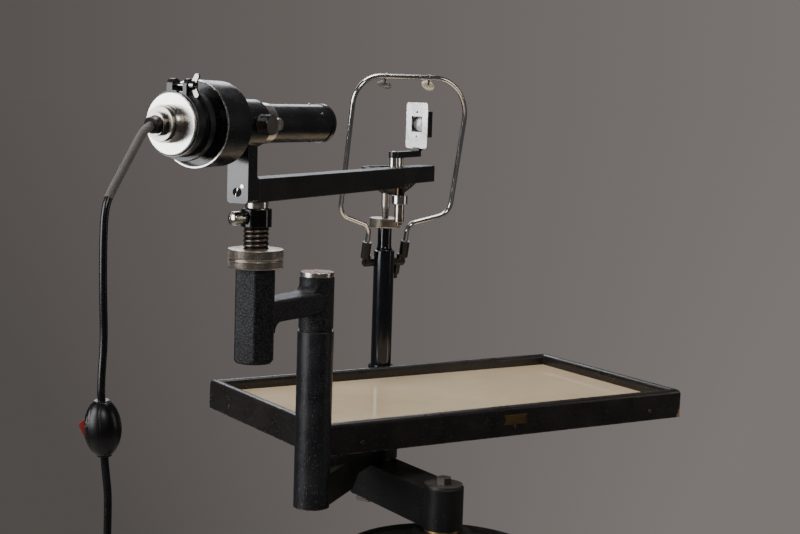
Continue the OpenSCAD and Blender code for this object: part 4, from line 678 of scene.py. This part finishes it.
silverPlate = plate("matteSilver", dict(
    colour=(0.72, 0.71, 0.7), colour2=(0.82, 0.81, 0.8), rough=(0.42, 0.55), speckShare=0.3,
    speckScale=520.0, speckSize=0.3, speckColour=(0.4, 0.39, 0.37), ringHeight=0.0))
chinPlastic = plain("chinPlastic", dict(
    colour=(0.005, 0.005, 0.0055), colour2=(0.008, 0.008, 0.0085), rough=(0.18, 0.28)))
switchPlastic = plain("switchPlastic", dict(
    colour=(0.004, 0.0034, 0.0037), colour2=(0.0065, 0.0055, 0.006), rough=(0.27, 0.38), specular=0.4))
blackedSteel = plain("blackedSteel", dict(
    colour=(0.006, 0.006, 0.006), colour2=(0.01, 0.01, 0.01), rough=(0.6, 0.75), specular=0.12, wear=0.1))
redPlastic = plain("redPlastic", dict(
    colour=(0.2, 0.016, 0.015), colour2=(0.27, 0.026, 0.024), rough=(0.3, 0.42),
    wornColour=(0.4, 0.1, 0.09)))
cordRubber = plain("cordRubber", dict(
    colour=(0.004, 0.004, 0.0048), colour2=(0.007, 0.007, 0.0082), rough=(0.2, 0.3), grainScale=500.0,
    grainHeight=0.00001, wear=0.0))
ivoryPad = plain("ivoryPad", dict(
    colour=(0.66, 0.56, 0.4), colour2=(0.74, 0.65, 0.5), rough=(0.4, 0.5), wornColour=(0.35, 0.27, 0.17)))
# Dark copy of the ivory pad: painted shade for the pad that sits in shadow
shadedPad = plain("paintedShadePad", dict(
    colour=(0.15, 0.12, 0.1), colour2=(0.2, 0.165, 0.14), rough=(0.4, 0.5), wornColour=(0.3, 0.25, 0.2)))
brightNickel = plate("brightNickel", dict(
    colour=(0.66, 0.62, 0.57), colour2=(0.76, 0.73, 0.68), rough=(0.08, 0.16), wear=0.2))
capCopper = plate("cappedNickel", dict(
    colour=(0.55, 0.5, 0.45), colour2=(0.66, 0.61, 0.55), rough=(0.18, 0.3), topColour=(0.3, 0.15, 0.11),
    topPaint=0.8, **postAxis))
print("finishes made:", len(bpy.data.materials))


def braidMaterial(v):
    material, tree, inputs = newMaterial("braidedSleeve", Sheen_Weight=v["sheen"])
    thread = noise(tree, v["threadScale"], 2.0, 0.7)
    colour = mixed(tree, mapped(tree, thread, *v["gap"]), shades(tree, v), v["dark"])
    feed(tree, inputs, Base_Color=colour, Roughness=mottled(tree, v["roughScale"], *v["rough"]),
         Normal=bump(tree, thread, v["threadHeight"]))
    return material


def laminateMaterial(v):
    material, tree, inputs = newMaterial("creamLaminate", Coat_Weight=v["coat"],
                                         Coat_Roughness=v["coatRough"])
    stain = mapped(tree, noise(tree, v["stainScale"], 6.0, 0.7), *v["stainEdge"])
    colour = mixed(tree, calc(tree, "MULTIPLY", stain, v["stain"]), shades(tree, v), v["stainColour"])
    marks = grouped(tree, scratches, "Mask", Scale=v["scratchScale"], Along=v["scratchAlong"],
                    Amount=v["scratch"])
    feed(tree, inputs, Base_Color=mixed(tree, marks, colour, v["scratchColour"]),
         Roughness=roughened(tree, v, marks, v["scratchRough"]),
         Normal=bump(tree, noise(tree, v["waveScale"], 2.0), v["waviness"]))
    return material


def woodMaterial(v):
    material, tree, inputs = newMaterial("stainedBoard")
    stretched = vectorCalc(tree, "MULTIPLY", objectPlace(tree), (v["along"], 1.0, 1.0))
    grain = noise(tree, v["grainScale"], 6.0, 0.65, stretched)
    feed(tree, inputs, Base_Color=mixed(tree, mapped(tree, grain, *v["streak"]), v["dark"], v["colour"]),
         Roughness=mapped(tree, grain, *v["roughFrom"], v["rough"]),
         Normal=bump(tree, grain, v["grainHeight"]))
    return material


def glassMaterial(name, v):
    material, tree, inputs = newMaterial(name, Base_Color=(*v["colour"], 1), Transmission_Weight=1.0,
                                         IOR=v["ior"])
    feed(tree, inputs, Roughness=mottled(tree, v["roughScale"], *v["rough"]))
    return material


braidFabric = braidMaterial(dict(
    colour=(0.13, 0.116, 0.102), colour2=(0.2, 0.18, 0.16), dark=(0.04, 0.035, 0.03), gap=(0.45, 0.62),
    cloudScale=45.0, roughScale=90.0, rough=(0.6, 0.8), threadScale=2400.0, threadHeight=0.00008, sheen=0.2))
laminate = laminateMaterial(dict(
    colour=(0.82, 0.63, 0.4), colour2=(0.88, 0.7, 0.46), cloudScale=5.0, stainScale=14.0, stain=0.25,
    stainEdge=(0.55, 0.72), stainColour=(0.58, 0.44, 0.27), scratch=0.35, scratchScale=4.0,
    scratchAlong=(0.1, 1.0, 1.0), scratchRough=0.25, scratchColour=(0.86, 0.78, 0.62), roughScale=9.0,
    rough=(0.1, 0.2), coat=0.6, coatRough=0.06, waveScale=40.0, waviness=0.00006))
boardWood = woodMaterial(dict(
    colour=(0.16, 0.085, 0.04), dark=(0.07, 0.035, 0.017), along=0.07, grainScale=160.0, grainHeight=0.00012,
    streak=(0.38, 0.62), roughFrom=(0.3, 0.7), rough=(0.55, 0.75)))
milkGlass = plain("milkGlass", dict(
    colour=(0.8, 0.8, 0.8), colour2=(0.88, 0.88, 0.88), rough=(0.05, 0.1), specular=1.0, wear=0.0,
    grainHeight=0.0))
clearGlass = glassMaterial("clearGlass", dict(
    colour=(0.95, 0.97, 0.97), ior=1.5, roughScale=60.0, rough=(0.0, 0.02)))
frostedGlass = glassMaterial("frostedGlass", dict(
    colour=(0.95, 0.93, 0.88), ior=1.45, roughScale=60.0, rough=(0.3, 0.4)))

# What each CAD piece is finished in
finishes = {
    enamel: ["floor_base", "head_post"],
    postPaint: ["lamp_post"],
    satinBlack: ["column_tube", "height_wheel", "lower_arm", "head_yoke", "head_elbows", "lens_crank",
                 "lens_holder", "cord_gland"],
    collarBlack: ["clamp_collar"],
    lampBlack: ["lamp_hood", "slit_tube", "lamp_carrier"],
    barPaint: ["lamp_bar"],
    uprightPaint: ["lamp_upright"],
    bracketPaint: ["table_bracket"],
    crinkle: ["knuckle_arm"],
    railPaint: ["rail_front", "rail_back", "rail_left", "rail_right"],
    laminate: ["tray_panel"],
    boardWood: ["tray_board"],
    steel: ["column_screw", "lift_spindle"],
    darkSteel: ["hub_bolt", "pivot_pin", "table_screws"],
    tarnishedBright: ["lens_plunger"],
    nickel: ["swivel_pin", "thumb_screw"],
    brightNickel: ["lens_nut"],
    capCopper: ["knuckle_cap"],
    lampNickel: ["slit_band", "lamp_screws"],
    socketNickel: ["lamp_socket"],
    wingNickel: ["wing_screw"],
    capSilver: ["lamp_cap"],
    tarnished: ["stop_ring", "adjusting_ring"],
    chinNickel: ["chin_ring"],
    wireNickel: ["head_frame"],
    knobPaint: ["slit_knob"],
    brass: ["thrust_washer"],
    labelBrass: ["label_plate"],
    bronze: ["plunger_bush"],
    silverPlate: ["lens_plate"],
    chinPlastic: ["chin_rest"],
    ivoryPad: ["brow_pads"],
    clearGlass: ["tube_lenses"],
    milkGlass: ["lens"],
    frostedGlass: ["bulb"],
    switchPlastic: ["switch_body", "plug"],
    redPlastic: ["switch_rocker"],
    cordRubber: ["cord_upper", "cord_lower", "cord_coil"],
}
# Edges of the CAD pieces: lengths in metres, angles in degrees
dressing = dict(weld=0.000005, flatWithin=0.6, bendFrom=34, segments=2, normalWeight=60, usualEdge=0.0006,
                smallEdge=0.00025)
smallPieces = {"label_plate", "table_screws", "lamp_screws", "wing_screw", "thumb_screw", "switch_rocker",
               "thrust_washer", "brow_pads", "lens", "tube_lenses", "lens_plate", "slit_band", "plug",
               "stop_ring", "adjusting_ring", "head_yoke", "lamp_socket", "lamp_cap"}
sharpPieces = {"tube_lenses", "lens", "bulb", "head_frame", "lift_spindle", "column_screw"}


def dressNode(node, material):
    piece = nodes[node]
    piece.data.materials.clear()
    piece.data.materials.append(material)
    for polygon in piece.data.polygons:
        polygon.use_smooth = True
    weld = piece.modifiers.new("weld", "WELD")
    weld.merge_threshold = dressing["weld"]
    merged = piece.modifiers.new("flat", "DECIMATE")
    merged.decimate_type = "DISSOLVE"
    merged.angle_limit = math.radians(dressing["flatWithin"])
    if node not in sharpPieces:
        bevel = piece.modifiers.new("edges", "BEVEL")
        bevel.width = dressing["smallEdge" if node in smallPieces else "usualEdge"]
        bevel.segments = dressing["segments"]
        bevel.limit_method = "ANGLE"
        bevel.angle_limit = math.radians(dressing["bendFrom"])
        bevel.miter_outer = "MITER_ARC"
    normals = piece.modifiers.new("normals", "WEIGHTED_NORMAL")
    normals.weight = dressing["normalWeight"]
    normals.keep_sharp = True


for material, members in finishes.items():
    for member in members:
        dressNode(member, material)
for piece, material in ((cordLead, cordRubber), (cordTail, cordRubber), (cordSleeve, braidFabric)):
    piece.data.materials.append(material)
print("CAD pieces dressed")


# Detailed pieces that stand for plainer CAD pieces
def finished(piece, material, body, slotName, *replaced):
    piece.data.materials.append(material)
    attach(piece, body)
    if replaced:
        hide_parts(*replaced)
    return piece


# An upright axis through a place, with heights from the floor
def upright(place):
    return Matrix.Translation((place[0], place[1], 0))


sameRadius = 1e-7                                     # a point this near to a face's radius is on that face


def onCutFace(r, z, radius, low, high):
    return abs(r - radius) <= sameRadius and low <= z <= high


# Diamond knurl: rows of small pyramids between two heights, cut into a face of the given radius
knurlRows = 4                                         # rows of points to a pyramid


def knurl(v, radius, low, high):
    cells = max(1, round((high - low) / v["pitch"]))
    rows = [low + (high - low) * i / (knurlRows * cells) for i in range(knurlRows * cells + 1)]

    def relief(a, z, r):
        if not onCutFace(r, z, radius, low, high):
            return 0
        along, up = a / turn * v["count"], (z - low) / (high - low) * cells
        ridge = 2 * min(abs((along + up) % 1 - 0.5), abs((along - up) % 1 - 0.5))
        return -v["depth"] * (1 - ridge)

    return rows, relief


# Ring with rounded edges, plain lands beside the knurl, and a smaller step on top where it has one
ringValues = dict(
    stop_ring=dict(finish=tarnished, body="knuckle", count=96, pitch=0.00195, depth=0.0008, edge=0.0007,
                   land=0.001, bore=0.0138, step=0.001, stepIn=0.002),
    adjusting_ring=dict(finish=tarnished, body="adjusting_ring", count=96, pitch=0.00195, depth=0.0008,
                        edge=0.0007, land=0.0011, bore=0.0138, step=0),
    chin_ring=dict(finish=chinNickel, body="chin_ring", count=72, pitch=0.0019, depth=0.0006, edge=0.0009,
                   land=0.0014, bore=0.00486, step=0))
edgeCurve = 0.3                                       # a rounded edge's middle lies this share of it inwards


def knurledRing(node, v):
    low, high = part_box(node)
    radius, edge, top = (high.x - low.x) / 2, v["edge"], high.z - v["step"]
    rows, relief = knurl(v, radius, low.z + v["land"], top - v["land"])
    rounding = [(edge, 0), (edgeCurve * edge, edgeCurve * edge), (0, edge)]
    profile = [(radius - inward, low.z + rise) for inward, rise in rounding]
    profile += [(radius, z) for z in rows]
    profile += [(radius - inward, top - rise) for inward, rise in reversed(rounding)]
    if v["step"]:
        profile += [(radius - v["stepIn"], top), (radius - v["stepIn"], high.z)]
    profile += [(v["bore"], high.z), (v["bore"], low.z)]
    ring = lathe(node + "Knurled", profile, upright(middle(node)), knurlRows * v["count"], relief, True)
    finished(ring, v["finish"], v["body"], "knurled", node)


for ringNode, ringValue in ringValues.items():
    knurledRing(ringNode, ringValue)


# Side knob of the slit: a knurled grip with a painted face, along the side axis
def makeKnob(v):
    place = frameAlong(alongLamp(-knobBehind), sideAxis)
    radius, inner, outer, edge, face = (v[k] for k in ("radius", "inner", "outer", "edge", "face"))
    rows, relief = knurl(v, radius, inner + v["land"], outer - v["land"])
    profile = [(v["stem"], inner), (radius - edge, inner), (radius, inner + edge)]
    profile += [(radius, z) for z in rows]
    profile += [(radius, outer - edge), (radius - edge, outer), (face, outer - v["recess"])]
    grip = lathe("slitKnob", profile, place, knurlRows * v["count"], relief)
    finished(grip, gripBlack, "slit_knob", "knob", "slit_knob")
    cover = [(face, outer - v["coverIn"]), (face, outer), (face / 2, outer + v["crown"])]
    finished(lathe("knobFace", cover, place, v["sides"]), knobPaint, "slit_knob", "knob")


makeKnob(dict(radius=0.0106, inner=0.0253, outer=0.039, stem=0.003, edge=0.0008, land=0.0012, face=0.0097,
              recess=0.0001, coverIn=0.0003, crown=0.0002, sides=48, count=34, pitch=0.0018, depth=0.0006))


# Helical thread between two heights of a rod; it fades out at both ends
def thread(v, radius):
    count = round((v["high"] - v["low"]) / v["pitch"] * v["rows"])
    rows = [v["low"] + (v["high"] - v["low"]) * i / count for i in range(count + 1)]

    def relief(a, z, r):
        if not onCutFace(r, z, radius, v["low"], v["high"]):
            return 0
        share = ((z - v["low"]) / v["pitch"] - a / turn) % 1
        fade = min(1, (z - v["low"]) / v["pitch"], (v["high"] - z) / v["pitch"])
        return -v["depth"] * fade * eased(1 - abs(2 * share - 1))

    return rows, relief


# Threaded spindle between the rings and the clamp collar
def makeSpindle(v):
    low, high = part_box("lift_spindle")
    radius, edge = (high.x - low.x) / 2, v["edge"]
    rows, relief = thread(v, radius)
    profile = [(radius - edge, low.z), (radius, low.z + edge)] + [(radius, z) for z in rows]
    profile += [(radius, high.z - edge), (radius - edge, high.z)]
    rod = lathe("liftSpindle", profile, upright(spindle), v["sides"], relief)
    finished(rod, steel, "spindle", "steel", "lift_spindle")


makeSpindle(dict(low=0.983, high=1.029, pitch=0.005, rows=16, depth=0.0013, edge=0.0006, sides=72))


# Chin cup: a smooth oval bowl on its threaded shaft. levels: shares of the height, and of the width there;
# rimCurve: shares of the rim's rounding, down and inwards
def makeChinCup(v):
    low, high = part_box("chin_rest")
    wide, deep = (high.x - low.x) / 2, (high.y - low.y) / 2
    centre, steps, rim, wall = (low + high) / 2, v["steps"], v["rim"], v["wall"]
    levels = smoothPath([Vector((*q, 0)) for q in v["levels"]], v["between"])

    def oval(z, share, inset):
        return [Vector((centre.x + (wide * share - inset) * math.cos(turn * k / steps),
                        centre.y + (deep * share - inset) * math.sin(turn * k / steps), z))
                for k in range(steps)]

    def wallRings(bottom, top, inset, order):
        return [q for level in order for q in oval(bottom + (top - bottom) * level.x, min(1, level.y), inset)]

    points = wallRings(v["bottom"], high.z - rim, 0, levels)
    for down, inward in v["rimCurve"]:
        points += oval(high.z - down * rim, 1, inward * rim)
    points += oval(high.z, 1, wall - rim) + oval(high.z - v["innerDown"] * rim, 1, wall)
    points += wallRings(v["bottom"] + v["floor"], high.z - rim, wall, levels[::-1])
    rings = len(points) // steps
    cup = meshObject("chinCup", points, ringFaces(rings, steps) + endFaces(rings, steps))
    finished(cup, chinPlastic, "chin_rest", "chin_cup", "chin_rest")
    shaft, edge = v["shaft"], v["shaftEdge"]
    rows, relief = thread(v["thread"], shaft)
    profile = [(shaft - edge, low.z), (shaft, low.z + edge)] + [(shaft, z) for z in rows]
    profile += [(v["neck"], v["thread"]["high"]), (v["neck"], v["bottom"] + v["intoCup"])]
    post = upright(joint("chin_turn")["pos_m"])
    finished(lathe("chinShaft", profile, post, v["shaftSides"], relief), chinNickel, "chin_rest", "steel")


makeChinCup(dict(levels=[(0, 0.28), (0.12, 0.44), (0.3, 0.63), (0.5, 0.79), (0.75, 0.93), (1, 1)], between=5,
                 bottom=1.02505, wall=0.003, rim=0.0011, rimCurve=[(0.3, 0.2), (0, 1)], innerDown=0.5,
                 floor=0.005, steps=96, shaft=0.0048, shaftEdge=0.0005, shaftSides=48, neck=0.006,
                 intoCup=0.003, thread=dict(low=0.9895, high=1.00705, pitch=0.002, rows=8, depth=0.0005)))


# Head frame: places across from the post's axis and up from the hinge, in the leaning plane. padCurve: shares
# of a pad's radius and of half its thickness, from the flat of its face to the rim
headValues = dict(
    lean=12, wire=0.0034, roundness=9, bendSteps=16,
    corners=[(-0.0295, 0.017), (-0.0295, 0.0535), (-0.08, 0.0715), (-0.084, 0.269), (0.1035, 0.269),
             (0.1025, 0.0705), (0.034, 0.0555), (0.034, 0.017)],
    bends=[0.015, 0.022, 0.038, 0.06, 0.022, 0.015],
    # The first pad takes the dark copy of the ivory: painted shade
    pads=[dict(across=-0.0374, up=0.2574, tilt=18, finish=shadedPad, replaced=["brow_pads"]),
          dict(across=0.0335, up=0.2579, tilt=34, finish=ivoryPad, replaced=[])],
    padRadius=0.0098, padHalf=0.0015, padCurve=[(0.5, 1), (0.75, 0.95), (0.93, 0.7), (1, 0)], padSides=48,
    clipRadius=0.0042, clipHalf=0.002, clipSides=32, stem=0.0014, stemSides=24, top=0.269)


def makeHeadFrame(v):
    hinge = Vector(joint("head_tilt")["pos_m"])
    lean = math.radians(v["lean"])
    rise = Vector((0, -math.sin(lean), math.cos(lean)))

    def leaned(across, up):
        return hinge + Vector((across, 0, 0)) + up * rise

    corners = [leaned(*q) for q in v["corners"]]
    path = [corners[0]]
    for i, bend in enumerate(v["bends"]):
        path += roundCorner(*corners[i:i + 3], bend, v["bendSteps"])
    wire = curveTube("headWire", path + [corners[-1]], v["wire"], v["roundness"])
    finished(wire, wireNickel, "head_rest", "wire", "head_frame")
    front = [(v["padRadius"] * q, -v["padHalf"] * h) for q, h in v["padCurve"]]
    disc = front + [(r, -z) for r, z in reversed(front[:-1])]
    clip = [(v["clipRadius"], -v["clipHalf"]), (v["clipRadius"], v["clipHalf"])]
    for k, pad in enumerate(v["pads"]):
        place = Matrix.Translation(leaned(pad["across"], pad["up"]))
        tilted = place @ Matrix.Rotation(lean + math.radians(pad["tilt"]), 4, "X")
        finished(lathe(f"browPad{k}", disc, tilted, v["padSides"]), pad["finish"], "head_rest", "pad",
                 *pad["replaced"])
        stem = [(v["stem"], 0), (v["stem"], v["top"] - pad["up"])]
        finished(lathe(f"padStem{k}", stem, place @ Matrix.Rotation(lean, 4, "X"), v["stemSides"]), darkSteel,
                 "head_rest", "steel")
        finished(lathe(f"padClip{k}", clip, frameAlong(leaned(pad["across"], v["top"]), (1, 0, 0)),
                       v["clipSides"]), wireNickel, "head_rest", "wire")


makeHeadFrame(headValues)


# In-line switch: an egg of two shells, with a lip at each end and ridges round the rocker's shallow dish.
# ridges, dishFrom and dishOver are shares of the oval; rocker and facing are angles about the egg's axis
switchValues = dict(
    place=(-0.20695, 0.8505), tilt=-5, half=0.027, radius=0.0173, end=0.0065, blunt=1.5, lip=0.007,
    lipHigh=0.0009, bore=0.0055, rocker=121, facing=57.3, oval=(0.0088, 0.0142), ridge=0.0007, ridgeWide=0.06,
    ridges=(1.0, 1.2, 1.4, 1.6), dish=0.0012, dishFrom=0.75, dishOver=0.2, seam=0.00035, seamWide=0.0005,
    steps=180, rings=20)


def makeSwitch(v):
    across = -sideAxis
    flat = Matrix(((lampAxis.x, across.x, 0, 0), (lampAxis.y, across.y, 0, 0), (0, 0, 1, 0), (0, 0, 0, 1)))
    tilted = Matrix.Rotation(math.radians(v["tilt"]), 4, "Y")
    place = Matrix.Translation(inLampPlane(*v["place"])) @ flat @ tilted
    rocker, facing = math.radians(v["rocker"]), math.radians(v["facing"])

    def relief(a, z, r):
        off = (a - rocker + turn / 2) % turn - turn / 2
        rise = -v["seam"] * math.exp(-(r * (abs(off) - turn / 4) / v["seamWide"]) ** 2)
        if abs(off) < facing:
            reach = math.hypot(r * off / v["oval"][0], z / v["oval"][1])
            rise += sum(math.exp(-((reach - q) / v["ridgeWide"]) ** 2) for q in v["ridges"]) * v["ridge"]
            rise -= v["dish"] * (1 - eased(min(1, max(0, (reach - v["dishFrom"]) / v["dishOver"]))))
        return rise

    half, inner = v["half"], v["half"] - v["lipHigh"]
    profile = [(v["bore"], -half), (v["lip"], -half), (v["lip"], -inner)]
    for k in range(-v["rings"], v["rings"] + 1):
        a = turn / 4 * k / v["rings"]
        bulge = (v["radius"] - v["end"]) * max(0, math.cos(a)) ** v["blunt"]
        profile.append((v["end"] + bulge, inner * math.sin(a)))
    profile += [(v["lip"], inner), (v["lip"], half), (v["bore"], half)]
    egg = lathe("switchEgg", profile, place, v["steps"], relief)
    return finished(egg, switchPlastic, "lamp_insert", "switch", "switch_body")


switchEgg = makeSwitch(switchValues)


# Nickel sleeve of the lens pivot, and the polished domed end of its pin in the crank
def makeLensPivot(v):
    place = upright(joint("lens_swing")["pos_m"])
    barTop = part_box("lamp_bar")[1].z
    top, pin, high = barTop + v["rise"] + v["crank"], v["pin"], v["pinHigh"]
    sleeve = [(v["radius"], barTop + v["gap"]), (v["radius"], barTop + v["rise"])]
    end = [(pin, top - high), (pin, top + high), (v["dome"] * pin, top + v["domeHigh"] * high)]
    finished(lathe("pivotSleeve", sleeve, place, v["sides"]), brightNickel, "lens_arm", "nickel")
    finished(lathe("pivotEnd", end, place, v["pinSides"]), brightNickel, "lens_arm", "nickel")


makeLensPivot(dict(radius=0.00525, gap=0.0002, rise=0.01195, sides=48, crank=0.0077, pin=0.0034,
                   pinHigh=0.0004, dome=0.7, domeHigh=1.5, pinSides=32))


# Slotted head on a face: z of the place points out of the face, the slot runs along y
def slottedHead(name, place, v):
    points, faces = [], []

    def prism(outline, low, high):
        base, n = len(points), len(outline)
        points.extend(Vector((x, y, low)) for x, y in outline)
        points.extend(Vector((x * v["taper"], y * v["taper"], high)) for x, y in outline)
        faces.extend(tuple(base + k for k in face) for face in ringFaces(2, n) + endFaces(2, n))

    def onCircle(angle):
        return v["radius"] * math.cos(angle), v["radius"] * math.sin(angle)

    slotFloor, edge, steps = v["high"] - v["deep"], math.acos(v["slot"] / 2 / v["radius"]), v["sides"] // 4
    prism([onCircle(turn * k / v["sides"]) for k in range(v["sides"])], 0, slotFloor)
    for side in (1, -1):
        arc = [onCircle(edge * k / steps) for k in range(-steps, steps + 1)]
        prism([(side * x, side * y) for x, y in arc], slotFloor, v["high"])
    return meshObject(name, [place @ q for q in points], faces)


# Slotted screw low on the lamp's upright; far and side are from the spindle's axis, along and across the bar
def makeUprightScrew(v):
    barTurn = math.radians(v["barTurn"])
    facing = Vector((-math.cos(barTurn), -math.sin(barTurn), 0))
    across = Vector((facing.y, -facing.x, 0))
    spot = spindle.xy.to_3d() + facing * v["far"] + across * v["side"]
    spot.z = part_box("lamp_bar")[0].z + v["rise"]
    place = frameAlong(spot, facing, across) @ Matrix.Rotation(math.radians(v["slotTurn"]), 4, "Z")
    finished(slottedHead("uprightScrew", place, v), blackedSteel, "lamp_arm", "steel")


makeUprightScrew(dict(barTurn=32.75, far=0.0392, side=0.0005, rise=0.0115, radius=0.00485, sides=48,
                      high=0.00135, deep=0.0006, slot=0.0012, taper=0.94, slotTurn=-16))


# Bright rim round the open back of the hood
def makeHoodRim(v):
    low, high, inner = v["along"] - v["half"], v["along"] + v["half"], v["outer"] - v["thick"]
    profile = [(inner, low), (v["outer"], low), (v["outer"], high), (inner, high)]
    rim = lathe("hoodRim", profile, frameAlong(alongLamp(0), lampAxis), v["sides"], closed=True)
    finished(rim, lampNickel, "lamp_arm", "nickel")


makeHoodRim(dict(along=-0.0803, half=0.0004, outer=0.0437, thick=0.0013, sides=96))
print("detailed pieces made")

# Floor and light
studio = dict(
    floorRadius=80.0, floorSides=96, fadeFrom=0.9, fadeTo=2.3, floorColour=(0.36, 0.342, 0.325),
    floorDark=(0.324, 0.3078, 0.2925), cloudScale=1.5, cloud=(0.97, 1.0), roughScale=3.0,
    floorRough=(0.6, 0.75),
    backDark=(0.088, 0.079, 0.073), backLight=(0.205, 0.183, 0.175), lighterTo=(0.849, -0.528, 0.0),
    spread=(-0.34, 0.3), roomColour=(0.05, 0.05, 0.052),
    lamps=dict(
        key=dict(place=(-2.6, 0.15, 1.45), aim=(-0.2, 0, 0.95), size=(1.6, 1.7), power=58,
                 colour=(0.97, 0.98, 1.0)),
        front=dict(place=(-1.2, -3.1, 2.7), aim=(0, 0.1, 0.85), size=(1.4, 0.9), power=30,
                   colour=(1.0, 0.97, 0.93)),
        fill=dict(place=(2.4, -1.6, 1.5), aim=(0.1, 0.1, 0.9), size=(0.5, 1.8), power=7,
                  colour=(1.0, 0.9, 0.8)),
        rim=dict(place=(0.9, 2.6, 2.2), aim=(0, 0.1, 0.95), size=(1.6, 0.9), power=18,
                 colour=(0.9, 0.94, 1.0)),
        top=dict(place=(0.2, 0.4, 3.0), aim=(0, 0.1, 0.9), size=(1.8, 1.2), power=42,
                 colour=(1.0, 0.98, 0.96))))


# The camera sees a backdrop a little lighter to one side; everything else is lit by the room's plain colour
def backTone(tree, direction, v):
    side = vectorCalc(tree, "DOT_PRODUCT", vectorCalc(tree, "NORMALIZE", direction), v["lighterTo"])
    tone = mixed(tree, mapped(tree, side, *v["spread"]), v["backDark"], v["backLight"])
    return mixed(tree, shaderNode(tree, "LightPath").outputs["Is Camera Ray"], v["roomColour"], tone)


# Floor: its own colour near the object, fading into the backdrop further out
def makeFloor(v):
    angles = [turn * k / v["floorSides"] for k in range(v["floorSides"])]
    points = [(v["floorRadius"] * math.cos(a), v["floorRadius"] * math.sin(a), 0) for a in angles]
    floor = meshObject("floor", points, [tuple(range(len(points)))], smooth=False)
    material, tree, inputs = newMaterial("studioFloor", Specular_IOR_Level=0.0, Emission_Strength=1.0)
    far = vectorCalc(tree, "LENGTH", objectPlace(tree))
    faded = shaderNode(tree, "MapRange", {"Value": far, "From Min": v["fadeFrom"], "From Max": v["fadeTo"]},
                       interpolation_type="SMOOTHSTEP").outputs[0]
    near = mixed(tree, mottled(tree, v["cloudScale"], *v["cloud"]), v["floorDark"], v["floorColour"])
    black = (0.0, 0.0, 0.0)
    feed(tree, inputs, Base_Color=mixed(tree, faded, near, black),
         Emission_Color=mixed(tree, faded, black, backTone(tree, objectPlace(tree), v)),
         Roughness=mottled(tree, v["roughScale"], *v["floorRough"]))
    floor.data.materials.append(material)


def makeStudio(v):
    makeFloor(v)
    world = bpy.data.worlds.new("studio")
    world.use_nodes = True
    sky = world.node_tree
    around = shaderNode(sky, "TexCoord").outputs["Generated"]
    sky.links.new(backTone(sky, around, v), sky.nodes["Background"].inputs["Color"])
    scene.world = world
    for name, lamp in v["lamps"].items():
        data = bpy.data.lights.new(name, "AREA")
        data.shape = "RECTANGLE"
        data.size, data.size_y = lamp["size"]
        data.energy = lamp["power"]
        data.color = lamp["colour"]
        light = bpy.data.objects.new(name, data)
        light.location = lamp["place"]
        towards = Vector(lamp["aim"]) - Vector(lamp["place"])
        light.rotation_euler = towards.to_track_quat("-Z", "Y").to_euler()
        scene.collection.objects.link(light)


makeStudio(studio)
print("floor and lights set")
